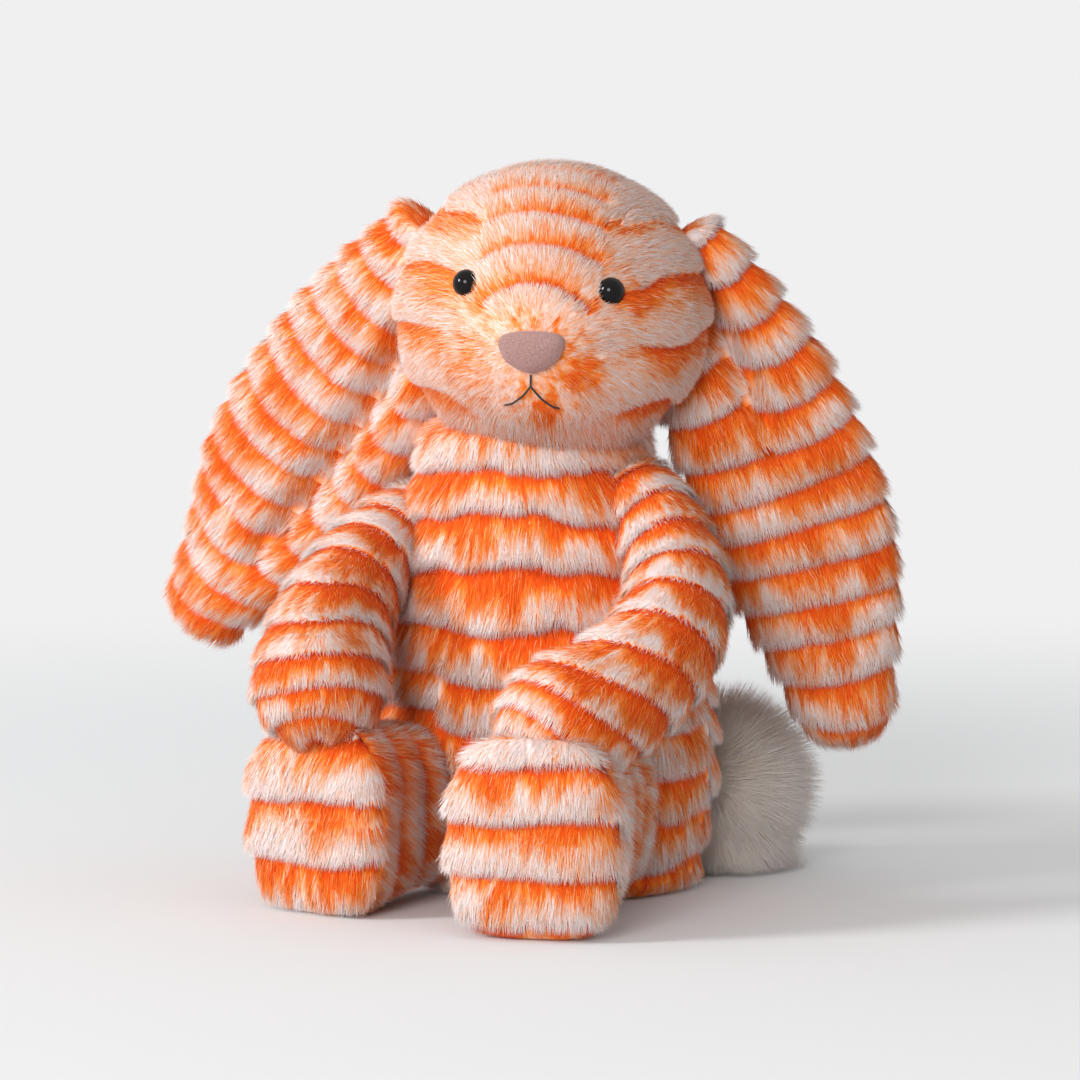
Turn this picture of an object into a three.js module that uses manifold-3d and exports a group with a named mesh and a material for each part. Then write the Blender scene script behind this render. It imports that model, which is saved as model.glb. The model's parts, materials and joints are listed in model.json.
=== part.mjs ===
// A seated plush rabbit with long hanging ears, in millimetres, +Z up.
// It faces -Y, its own left side is +X, and its flat seat lies on the ground around the origin.
// Every stuffed piece is a padded form: its cover is the outer few millimetres, its stuffing the rest.

import * as THREE from "three";
import { mergeVertices } from "three/addons/utils/BufferGeometryUtils.js";
import Module from "manifold-3d";

const wasm = await Module();
wasm.setup();

// Cloth and clearances
const CLOTH = 7; // plush cloth: backing and standing pile together
const GAP = 0.3; // air between pieces that touch
const SWING_GAP = 1.2; // air that a turning piece keeps beyond its seated place
const GROUND_FLAT = 0.6; // how much of each foot is pressed flat on the ground

// Body
const BODY_HEIGHT = 158; // ground to the top of the neck
const NECK_DOME = 14; // rounded top of the neck
const NECK_WIDTH = 72;
const NECK_FORWARD = 2; // how far the neck leans forward of the seat
const NECK_ASIDE = 7; // how far it leans towards the right
const SHOULDER_RISE = 122;
const SHOULDER_WIDTH = 88;
const SHOULDER_DEPTH = 76;
const CHEST_RISE = 88;
const CHEST_WIDTH = 102;
const CHEST_DEPTH = 86;
const BELLY_RISE = 38;
const BELLY_WIDTH = 108;
const BELLY_DEPTH = 98;
const SEAT_WIDTH = 90;
const SEAT_DEPTH = 82;

// Bean pouch on the base panel
const POUCH_DIAMETER = 62;
const POUCH_HEIGHT = 26;
const POUCH_CLOTH = 1.2;
const POUCH_MOUTH = 10;

// Head
const HEAD_WIDTH = 97;
const HEAD_DEPTH = 90;
const HEAD_HEIGHT = 94;
const HEAD_FORWARD = 6; // head centre in front of the neck
const HEAD_ASIDE = 9.5; // head centre to the left of the neck, as it tilts
const HEAD_TURN = 12.5; // degrees, towards the rabbit's left
const HEAD_ROLL = 3; // degrees, left side lower
const NECK_SINK = 18; // how far the neck stands into the head
const MUZZLE_LENGTH = 6;
const MUZZLE_SPREAD = 0.6; // radians
const CHEEK_FULLNESS = 3;
const CHEEK_SPREAD = 0.7; // radians
const GUSSET_TOP_WIDTH = 48;
const GUSSET_NOSE_WIDTH = 24;

// Face
const EYE_SPACING = 0.455 * HEAD_WIDTH;
const EYE_RISE = 7.6; // above the head's centre
const EYE_DIAMETER = 9;
const EYE_DOME = 4.5;
const EYE_SINK = 2.2; // back of the dome below the pile
const EYE_POST_DIAMETER = 3;
const EYE_POST_LENGTH = 10;
const WASHER_DIAMETER = 12;
const WASHER_THICKNESS = 1.6;
const WASHER_SETBACK = 1.2; // flat washer behind the curved cloth
const NOSE_DROP = 10.8; // below the head's centre
const NOSE_WIDTH = 21;
const NOSE_HEIGHT = 13;
const NOSE_TAPER = 0.35; // how much narrower the nose is below its middle, and wider above
const NOSE_THICKNESS = 5;
const NOSE_PROUD = 1.4;
const THREAD_DIAMETER = 1.2;
const MOUTH_STEM = 2.1;
const MOUTH_WIDTH = 15.5;
const MOUTH_DROP = 6.2;
const MOUTH_CURVE = 0.7; // share of the drop that an arc has made halfway out

// Ears
const EAR_LENGTH = { left: 157, right: 165 }; // root to the start of the rounded tip
const EAR_TIP = 12;
const EAR_BOW = { left: 4, right: 3 }; // outward bend of the middle
const EAR_ROOT_WIDTH = 40;
const EAR_WIDTH = { left: 58, right: 64 }; // as each one hangs, more or less folded
const EAR_END_WIDTH = 32;
const EAR_THICKNESS = 22;
const EAR_ROOT_RISE = 21; // above the head's centre
const EAR_ROOT_BACK = 13; // behind the head's centre
const EAR_SINK = 6; // root inside the head
const EAR_SWEEP = 15; // degrees, outer edge turned back
const EAR_LEAN = 6; // degrees, tip behind the root
const EAR_SPLAY = { left: 20.5, right: 42 }; // degrees from straight down

// Arms: each bends in one plane, through its shoulder, elbow and paw
const ARM_RISE = { left: 126, right: 116 };
const ARM_FORWARD = 12; // shoulder in front of the seat's middle
const SHOULDER_SINK = 3; // shoulder inside the body
const SHOULDER_THICKNESS = 27;
const ELBOW_THICKNESS = 35;
const PAW_THICKNESS = 42;
const ELBOW_OUT = { left: 20, right: 8 };
const ELBOW_FORWARD = { left: 30, right: 36 };
const ELBOW_DROP = { left: 34, right: 20 };
const PAW_OUT = { left: 0, right: 4 };
const PAW_FORWARD = { left: 73, right: 68 };
const PAW_DROP = { left: 62, right: 44 };

// Legs
const HIP_OUT = { left: 24, right: 30 }; // hip from the middle
const HIP_FORWARD = 26; // hip in front of the seat's middle
const LEG_ROOT = 22; // leg form inside the body, behind the hip
const LEG_REACH = { left: 88, right: 67 }; // hip to the sole
const SOLE_ROUND = 10;
const LEG_WIDTH = 42;
const LEG_HEIGHT = 50;
const FOOT_WIDTH = 55;
const FOOT_HEIGHT = 62;
const FOOT_DEPTH = 34;
const FOOT_SQUARENESS = 2.6; // between an oval, 2, and a rounded box
const TOE_OUT = { left: 5, right: 20 }; // degrees

// Tail
const TAIL_DIAMETER = 58;
const TAIL_RISE = 29;
const TAIL_SINK = 13; // tail inside the body
const TAIL_ROUND = 37; // degrees from the middle of the back towards the left

// Joint ranges in degrees, from the seated pose
const NECK_TURN = [-12, 8];
const EAR_LIFT = 60;
const ARM_SWING = 60;
const LEG_SPREAD = 18;
const TAIL_WAG = 15;
const SWEEP_STEP = 15; // largest turn between the poses that room is cut for
const SWEEP_POSES = 4; // least number of those poses

// Fineness of the forms
const BODY_SIDES = 16;
const LIMB_SIDES = 10;
const LEG_SIDES = 12;
const FORM_RINGS = 7;
const CAP_RINGS = 2;
const THREAD_STEPS = 8;
const THREAD_SIDES = 6;
const SLOPE_STEP = 0.02; // radians, for reading the slope of the head

const LEFTWARD = new THREE.Vector3(1, 0, 0);
const BACKWARD = new THREE.Vector3(0, 1, 0);
const UPWARD = new THREE.Vector3(0, 0, 1);
const WORK_SPACE = 4 * (BODY_HEIGHT + HEAD_HEIGHT);
const MIRROR = { left: 1, right: -1 };
const OVAL = 2; // squareness of a plain oval section
const { degToRad, clamp } = THREE.MathUtils;

// Reads smooth values from rows of [place, value, value, ...].
function smoothRows(rows) {
  const places = rows.map((row) => row[0]);
  const values = rows.flatMap((row) => row.slice(1));
  const curve = new THREE.CubicInterpolant(places, values, rows[0].length - 1);
  return (place) => Array.from(curve.evaluate(place));
}

// Leaves only points in a geometry, shared by the faces that meet there.
function sharedPoints(geometry) {
  geometry.deleteAttribute("normal");
  geometry.deleteAttribute("uv");
  return mergeVertices(geometry);
}

// Closes a stack of rings with a point at either end.
function closedForm(firstPoint, rings, lastPoint) {
  const sides = rings[0].length;
  const points = [firstPoint, ...rings.flat(), lastPoint];
  const last = points.length - 1;
  const faces = [];
  const at = (ring, side) => 1 + ring * sides + (side % sides);
  for (let side = 0; side < sides; side += 1) {
    faces.push(0, at(0, side + 1), at(0, side));
    faces.push(last, at(rings.length - 1, side), at(rings.length - 1, side + 1));
    for (let ring = 0; ring < rings.length - 1; ring += 1) {
      faces.push(at(ring, side), at(ring, side + 1), at(ring + 1, side + 1));
      faces.push(at(ring, side), at(ring + 1, side + 1), at(ring + 1, side));
    }
  }
  const form = new THREE.BufferGeometry().setFromPoints(points);
  form.setIndex(faces);
  return form;
}

// Carries oval sections along a flat curve. Each row of sizes is [distance, full size across, full size
// upright]. The last end is rounded by a cap. Shrink takes an even layer off the form, or adds one below 0.
function paddedForm({ spine, upright, sizes, cap, sides, squareness }, shrink) {
  const length = spine.getLength();
  const sizeAt = smoothRows(sizes);
  const frameAt = (along) => {
    const inside = clamp(along, 0, length);
    const forward = spine.getTangentAt(inside / length);
    const centre = spine.getPointAt(inside / length).addScaledVector(forward, along - inside);
    return { inside, forward, centre };
  };
  const section = (along, lift, scale) => {
    const { inside, forward, centre } = frameAt(along);
    const across = new THREE.Vector3().crossVectors(upright, forward);
    const [halfAcross, halfUpright] = sizeAt(inside).map((size) => scale * (size / 2 - shrink));
    const bulge = (value) => Math.sign(value) * Math.abs(value) ** (2 / squareness);
    return Array.from({ length: sides }, (_, side) => {
      const angle = (2 * Math.PI * side) / sides;
      return centre
        .clone()
        .addScaledVector(forward, lift)
        .addScaledVector(across, halfAcross * bulge(Math.cos(angle)))
        .addScaledVector(upright, halfUpright * bulge(Math.sin(angle)));
    });
  };
  const start = shrink;
  const end = length - shrink;
  const rings = [];
  for (let ring = 0; ring <= FORM_RINGS; ring += 1) {
    rings.push(section(start + ((end - start) * ring) / FORM_RINGS, 0, 1));
  }
  for (let ring = 1; ring <= CAP_RINGS; ring += 1) {
    const angle = (Math.PI / 2) * (ring / (CAP_RINGS + 1));
    rings.push(section(end, cap * Math.sin(angle), Math.cos(angle)));
  }
  const tip = frameAt(end);
  return closedForm(frameAt(start).centre, rings, tip.centre.addScaledVector(tip.forward, cap));
}

// Turns a form into a solid that can be cut and joined.
function solid(form) {
  const vertProperties = new Float32Array(form.attributes.position.array);
  const triVerts = new Uint32Array(form.index.array);
  return new wasm.Manifold(new wasm.Mesh({ numProp: 3, vertProperties, triVerts }));
}

// Everything on one side of a plane, from a short distance past it.
function sideOf(point, normal, distance) {
  const block = sharedPoints(new THREE.BoxGeometry(WORK_SPACE, WORK_SPACE, WORK_SPACE));
  block.applyQuaternion(new THREE.Quaternion().setFromUnitVectors(UPWARD, normal));
  const centre = point.clone().addScaledVector(normal, WORK_SPACE / 2 + distance);
  return solid(block.translate(centre.x, centre.y, centre.z));
}

// Cuts a cover in two along a seam plane.
function sewnHalves(cover, point, normal) {
  const front = cover.intersect(sideOf(point, normal, GAP / 2));
  const back = cover.intersect(sideOf(point, normal.clone().negate(), GAP / 2));
  return [front, back];
}

// The room that a neighbour takes, seen from a piece that turns on a joint over its whole range.
function roomTaken(formAt, { pivot, axis, range }, swingGap = SWING_GAP) {
  const [low, high] = range;
  const steps = Math.max(SWEEP_POSES, Math.ceil((high - low) / SWEEP_STEP));
  let room = solid(formAt(-GAP));
  for (let step = 0; step <= steps; step += 1) {
    const angle = degToRad(low + ((high - low) * step) / steps);
    if (angle !== 0) {
      const moved = formAt(-swingGap).translate(-pivot.x, -pivot.y, -pivot.z);
      moved.applyMatrix4(new THREE.Matrix4().makeRotationAxis(axis, -angle));
      room = room.add(solid(moved.translate(pivot.x, pivot.y, pivot.z)));
    }
  }
  return room;
}

// Cuts a padded form clear of its neighbours, then parts it into cover and stuffing.
function stuffed(formAt, cuts) {
  const cutClear = (body) => cuts.reduce((rest, cut) => rest.subtract(cut), body);
  const cover = cutClear(solid(formAt(0)).subtract(solid(formAt(CLOTH))));
  const stuffing = cutClear(solid(formAt(CLOTH + GAP)));
  return { cover, stuffing };
}

// A solid of revolution about +Z from a closed profile of [radius, height] points.
function turned(profile, sides) {
  const points = profile.map(([radius, height]) => new THREE.Vector2(radius, height));
  return sharedPoints(new THREE.LatheGeometry(points, sides).rotateX(Math.PI / 2));
}

// Points of a quarter ellipse in a profile, from the rim up to the axis.
function domeProfile(radius, base, height) {
  const points = [];
  for (let ring = 0; ring <= CAP_RINGS + 1; ring += 1) {
    const angle = (Math.PI / 2) * (ring / (CAP_RINGS + 1));
    points.push([ring > CAP_RINGS ? 0 : radius * Math.cos(angle), base + height * Math.sin(angle)]);
  }
  return points;
}

// Body form
const neckTop = new THREE.Vector3(-NECK_ASIDE, -NECK_FORWARD, BODY_HEIGHT);
const bodyRows = [
  [0, SEAT_WIDTH, SEAT_DEPTH],
  [BELLY_RISE, BELLY_WIDTH, BELLY_DEPTH],
  [CHEST_RISE, CHEST_WIDTH, CHEST_DEPTH],
  [SHOULDER_RISE, SHOULDER_WIDTH, SHOULDER_DEPTH],
  [BODY_HEIGHT - NECK_DOME, NECK_WIDTH, NECK_WIDTH],
];
const bodyWidthAt = (height) => smoothRows(bodyRows)(height)[0];
const bodyDepthAt = (height) => smoothRows(bodyRows)(height)[1];
const bodyShape = {
  spine: new THREE.LineCurve3(new THREE.Vector3(), new THREE.Vector3(0, 0, BODY_HEIGHT - NECK_DOME)),
  upright: BACKWARD,
  sizes: bodyRows,
  cap: NECK_DOME,
  sides: BODY_SIDES,
  squareness: OVAL,
};

// The body leans evenly from the middle of its seat to its neck.
function bodyForm(shrink) {
  const form = paddedForm(bodyShape, shrink);
  const lean = neckTop.clone().divideScalar(BODY_HEIGHT);
  return form.applyMatrix4(new THREE.Matrix4().makeShear(0, 0, 0, 0, lean.x, lean.y));
}

// Head form: an oval with a muzzle and two cheeks, in its own frame, facing -Y
const muzzleTowards = new THREE.Vector3(0, -HEAD_DEPTH, -2 * NOSE_DROP).normalize();
const headCentre = new THREE.Vector3(
  neckTop.x + HEAD_ASIDE,
  neckTop.y - HEAD_FORWARD,
  BODY_HEIGHT - NECK_SINK + HEAD_HEIGHT / 2,
);
const headPlace = new THREE.Matrix4()
  .makeTranslation(headCentre)
  .multiply(new THREE.Matrix4().makeRotationZ(degToRad(HEAD_TURN)))
  .multiply(new THREE.Matrix4().makeRotationY(degToRad(HEAD_ROLL)));

// A smooth hill on a sphere of directions, 1 at its middle.
function hill(direction, towards, spread) {
  return Math.exp(-((direction.angleTo(towards) / spread) ** 2));
}

function headPoint(direction, shrink) {
  const cheekSide = new THREE.Vector3(Math.sign(direction.x) || 1, muzzleTowards.y / 2, muzzleTowards.z);
  const cheek = CHEEK_FULLNESS * hill(direction, cheekSide.normalize(), CHEEK_SPREAD);
  const muzzle = MUZZLE_LENGTH * hill(direction, muzzleTowards, MUZZLE_SPREAD);
  const point = new THREE.Vector3(
    direction.x * (HEAD_WIDTH / 2 - shrink),
    direction.y * (HEAD_DEPTH / 2 - shrink),
    direction.z * (HEAD_HEIGHT / 2 - shrink),
  );
  return point.addScaledVector(direction, muzzle + cheek).applyMatrix4(headPlace);
}

function headForm(shrink) {
  const ball = sharedPoints(new THREE.SphereGeometry(1, BODY_SIDES, BODY_SIDES / 2 + CAP_RINGS));
  ball.rotateX(Math.PI / 2);
  const { position } = ball.attributes;
  for (let index = 0; index < position.count; index += 1) {
    const direction = new THREE.Vector3().fromBufferAttribute(position, index).normalize();
    position.setXYZ(index, ...headPoint(direction, shrink));
  }
  return ball;
}

// The direction from the head's centre to a place given by its offsets across and up.
function headDirection(across, up) {
  const x = (2 * across) / HEAD_WIDTH;
  const z = (2 * up) / HEAD_HEIGHT;
  return new THREE.Vector3(x, -Math.sqrt(1 - x * x - z * z), z);
}

// The outward normal of the head's surface in a direction, from two short steps along the surface.
function headNormal(direction) {
  const sideways = new THREE.Vector3().crossVectors(UPWARD, direction).normalize();
  const upwards = new THREE.Vector3().crossVectors(direction, sideways);
  const slope = (tangent) => {
    const ahead = direction.clone().addScaledVector(tangent, SLOPE_STEP).normalize();
    const behind = direction.clone().addScaledVector(tangent, -SLOPE_STEP).normalize();
    return headPoint(ahead, 0).sub(headPoint(behind, 0));
  };
  return slope(sideways).cross(slope(upwards)).normalize();
}

// Stands a form that points along +Z, with +Y up the face, on the head's surface.
function placeOnHead(form, direction) {
  const normal = headNormal(direction);
  const across = new THREE.Vector3().crossVectors(UPWARD, normal).normalize();
  const upFace = new THREE.Vector3().crossVectors(normal, across);
  const place = new THREE.Matrix4().makeBasis(across, upFace, normal);
  return form.applyMatrix4(place.setPosition(headPoint(direction, 0)));
}

// Ear form: a flat padded lobe that hangs in its own plane
function earFrame(side) {
  const mirror = MIRROR[side];
  const back = (2 * EAR_ROOT_BACK) / HEAD_DEPTH;
  const up = (2 * EAR_ROOT_RISE) / HEAD_HEIGHT;
  const rootTowards = new THREE.Vector3(mirror * Math.sqrt(1 - back ** 2 - up ** 2), back, up);
  const root = headPoint(rootTowards, EAR_SINK);
  const turn = new THREE.Matrix4()
    .makeRotationZ(mirror * degToRad(EAR_SWEEP))
    .multiply(new THREE.Matrix4().makeRotationX(degToRad(EAR_LEAN)));
  const outward = new THREE.Vector3(mirror, 0, 0).transformDirection(turn);
  const downward = new THREE.Vector3(0, 0, -1).transformDirection(turn);
  const frontward = new THREE.Vector3(0, -1, 0).transformDirection(turn);
  return { root, outward, downward, frontward };
}

function earForm(side, shrink) {
  const { root, outward, downward, frontward } = earFrame(side);
  const splay = degToRad(EAR_SPLAY[side]);
  const length = EAR_LENGTH[side];
  const pointAt = (along, bow) =>
    root
      .clone()
      .addScaledVector(downward, along * Math.cos(splay) - bow * Math.sin(splay))
      .addScaledVector(outward, along * Math.sin(splay) + bow * Math.cos(splay));
  const spine = new THREE.CatmullRomCurve3([
    pointAt(0, 0),
    pointAt(length / 3, EAR_BOW[side]),
    pointAt((2 * length) / 3, EAR_BOW[side]),
    pointAt(length, 0),
  ]);
  const sizes = [
    [0, EAR_ROOT_WIDTH, EAR_THICKNESS],
    [length / 3, EAR_WIDTH[side], EAR_THICKNESS],
    [(2 * length) / 3, EAR_WIDTH[side], EAR_THICKNESS],
    [length, EAR_END_WIDTH, EAR_THICKNESS],
  ];
  const shape = { spine, upright: frontward, sizes, cap: EAR_TIP, sides: LIMB_SIDES, squareness: OVAL };
  return paddedForm(shape, shrink);
}

// Arm form: a tapered tube through shoulder, elbow and paw
function armPoints(side) {
  const mirror = MIRROR[side];
  const rise = ARM_RISE[side];
  const middle = (neckTop.x * rise) / BODY_HEIGHT;
  const shoulderOut = mirror * (bodyWidthAt(rise) / 2 - SHOULDER_SINK);
  const shoulder = new THREE.Vector3(middle + shoulderOut, -ARM_FORWARD, rise);
  const fromShoulder = (out, forward, drop) => new THREE.Vector3(mirror * out, -forward, -drop).add(shoulder);
  const elbow = fromShoulder(ELBOW_OUT[side], ELBOW_FORWARD[side], ELBOW_DROP[side]);
  const paw = fromShoulder(PAW_OUT[side], PAW_FORWARD[side], PAW_DROP[side]);
  return { shoulder, elbow, paw };
}

// The direction square to the plane that an arm bends in, pointing away from the body.
function armOutward(side) {
  const { shoulder, elbow, paw } = armPoints(side);
  const normal = elbow.clone().sub(shoulder).cross(paw.clone().sub(shoulder)).normalize();
  return normal.multiplyScalar(Math.sign(normal.x) * MIRROR[side]);
}

function armForm(side, shrink) {
  const { shoulder, elbow, paw } = armPoints(side);
  const spine = new THREE.CatmullRomCurve3([shoulder, elbow, paw]);
  const length = spine.getLength();
  const sizes = [
    [0, SHOULDER_THICKNESS, SHOULDER_THICKNESS],
    [length / 2, ELBOW_THICKNESS, ELBOW_THICKNESS],
    [length, PAW_THICKNESS, PAW_THICKNESS],
  ];
  const cap = PAW_THICKNESS / 2;
  const shape = { spine, upright: armOutward(side), sizes, cap, sides: LIMB_SIDES, squareness: OVAL };
  return paddedForm(shape, shrink);
}

// Leg form: a stubby leg that ends in an upright foot, with its sole in front
function legFrame(side) {
  const mirror = MIRROR[side];
  const turn = mirror * degToRad(TOE_OUT[side]);
  const forward = new THREE.Vector3(Math.sin(turn), -Math.cos(turn), 0);
  const hip = new THREE.Vector3(mirror * HIP_OUT[side], -HIP_FORWARD, FOOT_HEIGHT / 2 - GROUND_FLAT);
  return { hip, forward };
}

function legForm(side, shrink) {
  const { hip, forward } = legFrame(side);
  const root = hip.clone().addScaledVector(forward, -LEG_ROOT);
  const ankle = hip.clone().addScaledVector(forward, LEG_REACH[side] - SOLE_ROUND);
  const length = root.distanceTo(ankle);
  const sizes = [
    [0, LEG_WIDTH, LEG_HEIGHT],
    [length - FOOT_DEPTH, LEG_WIDTH, LEG_HEIGHT],
    [length, FOOT_WIDTH, FOOT_HEIGHT],
  ];
  const spine = new THREE.LineCurve3(root, ankle);
  const cap = SOLE_ROUND;
  const shape = { spine, upright: UPWARD, sizes, cap, sides: LEG_SIDES, squareness: FOOT_SQUARENESS };
  return paddedForm(shape, shrink);
}

// Tail form: a ball sewn low on the back
function tailCentre() {
  const turn = degToRad(TAIL_ROUND);
  const bodyRadius = new THREE.Vector2(
    (Math.sin(turn) * bodyWidthAt(TAIL_RISE)) / 2,
    (Math.cos(turn) * bodyDepthAt(TAIL_RISE)) / 2,
  );
  const reach = bodyRadius.length() + TAIL_DIAMETER / 2 - TAIL_SINK;
  return new THREE.Vector3(reach * Math.sin(turn), reach * Math.cos(turn), TAIL_RISE);
}

function tailForm(shrink) {
  const ball = sharedPoints(new THREE.SphereGeometry(TAIL_DIAMETER / 2 - shrink, LIMB_SIDES, FORM_RINGS));
  const centre = tailCentre();
  return ball.translate(centre.x, centre.y, centre.z);
}

// Joints: where each soft seam gives, and how far
const neckJoint = { pivot: neckTop, axis: UPWARD, range: NECK_TURN };
const tailPivot = tailCentre().multiply(new THREE.Vector3(1, 1, 0));
tailPivot.setLength(tailPivot.length() - TAIL_DIAMETER / 2 + TAIL_SINK).setZ(TAIL_RISE);
const tailJoint = { pivot: tailPivot, axis: UPWARD, range: [-TAIL_WAG, TAIL_WAG] };

function earJoint(side) {
  const { root, frontward } = earFrame(side);
  const axis = frontward.multiplyScalar(MIRROR[side]);
  return { pivot: root, axis, range: [0, EAR_LIFT] };
}

function armJoint(side) {
  return { pivot: armPoints(side).shoulder, axis: LEFTWARD.clone().negate(), range: [0, ARM_SWING] };
}

function legJoint(side) {
  const axis = UPWARD.clone().multiplyScalar(MIRROR[side]);
  return { pivot: legFrame(side).hip, axis, range: [0, LEG_SPREAD] };
}

// Materials: the colour and the roughness of each
const FINISHES = {
  plush: [0xf28a3a, 1],
  palePlush: [0xf0d3c4, 1],
  tailPlush: [0xe9dccb, 1],
  fibre: [0xf4f2ec, 1],
  linen: [0xd8cfc0, 0.9],
  pellets: [0xf0d3c4, 0.5],
  suede: [0xc39b96, 0.9],
  thread: [0x0a0a0a, 0.7],
  glossyBlack: [0x0a0a0a, 0.1],
  plainPlastic: [0xf4f2ec, 0.6],
};

function finish(name) {
  const [color, roughness] = FINISHES[name];
  return new THREE.MeshStandardMaterial({ color, roughness, metalness: 0 });
}

// A named piece, hung in a group whose origin is its joint's pivot.
function addPiece(group, name, body, finishName) {
  const { vertProperties, triVerts } = body.getMesh();
  const geometry = new THREE.BufferGeometry();
  geometry.setAttribute("position", new THREE.BufferAttribute(vertProperties, 3));
  geometry.setIndex(new THREE.BufferAttribute(triVerts, 1));
  const { x, y, z } = group.position;
  geometry.translate(-x, -y, -z);
  geometry.computeVertexNormals();
  const mesh = new THREE.Mesh(geometry, finish(finishName));
  mesh.name = name;
  group.add(mesh);
}

function bodyGroup(pivot) {
  const group = new THREE.Group();
  group.position.copy(pivot);
  return group;
}

// Bean pouch: a flat-bottomed dome with a small mouth, inside out by a shrink
const pouchFloor = CLOTH + GAP;
const pouchTop = pouchFloor + POUCH_HEIGHT;

function pouchRoof(shrink) {
  const dome = domeProfile(POUCH_DIAMETER / 2 - shrink, pouchFloor + shrink, POUCH_HEIGHT - 2 * shrink);
  const neck = POUCH_MOUTH / 2 + POUCH_CLOTH - shrink;
  const shoulder = dome.filter(([across]) => across > POUCH_MOUTH);
  const base = shrink < 0 ? [[POUCH_DIAMETER / 2 - shrink, 0]] : [];
  return [...base, ...shoulder, [neck, pouchTop - Math.min(shrink, 0)]];
}

// Body, with the pouch of pellets on its base
function makeBody() {
  const group = bodyGroup(new THREE.Vector3());
  const outer = solid(bodyForm(0));
  const baseTop = new THREE.Vector3(0, 0, CLOTH);
  const aboveBase = sideOf(baseTop, UPWARD, GAP);
  const cover = outer.subtract(solid(bodyForm(CLOTH))).intersect(aboveBase);
  const [back, front] = sewnHalves(cover, new THREE.Vector3(), BACKWARD);
  const base = outer.subtract(sideOf(baseTop, UPWARD, 0));

  const room = solid(turned([[0, 0], ...pouchRoof(-GAP), [0, pouchTop + GAP]], BODY_SIDES));
  const stuffing = solid(bodyForm(CLOTH + GAP)).intersect(aboveBase).subtract(room);
  const pouchOuter = [[0, pouchFloor], ...pouchRoof(0)];
  const pouchInner = [...pouchRoof(POUCH_CLOTH).reverse(), [0, pouchFloor + POUCH_CLOTH]];
  const pouch = solid(turned([...pouchOuter, ...pouchInner], BODY_SIDES));
  const inset = POUCH_CLOTH + GAP;
  const fillProfile = [[0, pouchFloor + inset], ...pouchRoof(inset), [0, pouchTop - inset]];
  const fill = solid(turned(fillProfile, BODY_SIDES));

  addPiece(group, "body_front_panel", front, "plush");
  addPiece(group, "body_back_panel", back, "plush");
  addPiece(group, "base_panel", base, "palePlush");
  addPiece(group, "body_stuffing", stuffing, "fibre");
  addPiece(group, "bean_pouch", pouch, "linen");
  addPiece(group, "pellet_fill", fill, "pellets");
  return group;
}

function makeTail() {
  const group = bodyGroup(tailJoint.pivot);
  const bodyRoom = roomTaken(bodyForm, tailJoint, GAP);
  const { cover, stuffing } = stuffed(tailForm, [bodyRoom]);
  addPiece(group, "tail_cover", cover, "tailPlush");
  addPiece(group, "tail_stuffing", stuffing, "fibre");
  return group;
}

// Eye: a dome on a post, its hole through the cloth, and the washer that locks it
const eyeTowards = (side) => headDirection((MIRROR[side] * EYE_SPACING) / 2, EYE_RISE);
const postRadius = EYE_POST_DIAMETER / 2;

function eyeSolid(side, grow) {
  const dome = domeProfile(EYE_DIAMETER / 2 + grow, -EYE_SINK - grow, EYE_DOME + grow);
  const post = [
    [0, -EYE_SINK - EYE_POST_LENGTH - grow],
    [postRadius + grow, -EYE_SINK - EYE_POST_LENGTH - grow],
    [postRadius + grow, -EYE_SINK - grow],
  ];
  return solid(placeOnHead(turned([...post, ...dome], LIMB_SIDES), eyeTowards(side)));
}

function washerSolid(side, grow) {
  const top = -CLOTH - WASHER_SETBACK + grow;
  const bottom = -CLOTH - WASHER_SETBACK - WASHER_THICKNESS - grow;
  const inner = postRadius + GAP - grow;
  const outer = WASHER_DIAMETER / 2 + grow;
  const ring = [[inner, bottom], [outer, bottom], [outer, top], [inner, top], [inner, bottom]];
  return solid(placeOnHead(turned(ring, LIMB_SIDES), eyeTowards(side)));
}

// The pocket in the stuffing that holds the post and its washer.
function washerPocket(side) {
  const bottom = -EYE_SINK - EYE_POST_LENGTH - GAP;
  const radius = WASHER_DIAMETER / 2 + GAP;
  const profile = [[0, bottom], [radius, bottom], [radius, EYE_DOME], [0, EYE_DOME]];
  return solid(placeOnHead(turned(profile, LIMB_SIDES), eyeTowards(side)));
}

// Nose: an oval drawn in towards its lower end
function noseSolid(grow) {
  const half = NOSE_WIDTH / 2 + grow;
  const top = NOSE_HEIGHT / 2 + grow;
  const outline = new THREE.Shape(
    Array.from({ length: BODY_SIDES }, (_, corner) => {
      const angle = (2 * Math.PI * corner) / BODY_SIDES;
      const taper = 1 + NOSE_TAPER * Math.sin(angle);
      return new THREE.Vector2(half * taper * Math.cos(angle), top * Math.sin(angle));
    }),
  );
  const depth = NOSE_THICKNESS + 2 * grow;
  const pad = sharedPoints(new THREE.ExtrudeGeometry(outline, { depth, bevelEnabled: false }));
  pad.translate(0, 0, NOSE_PROUD - NOSE_THICKNESS - grow);
  return solid(placeOnHead(pad, headDirection(0, -NOSE_DROP)));
}

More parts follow.
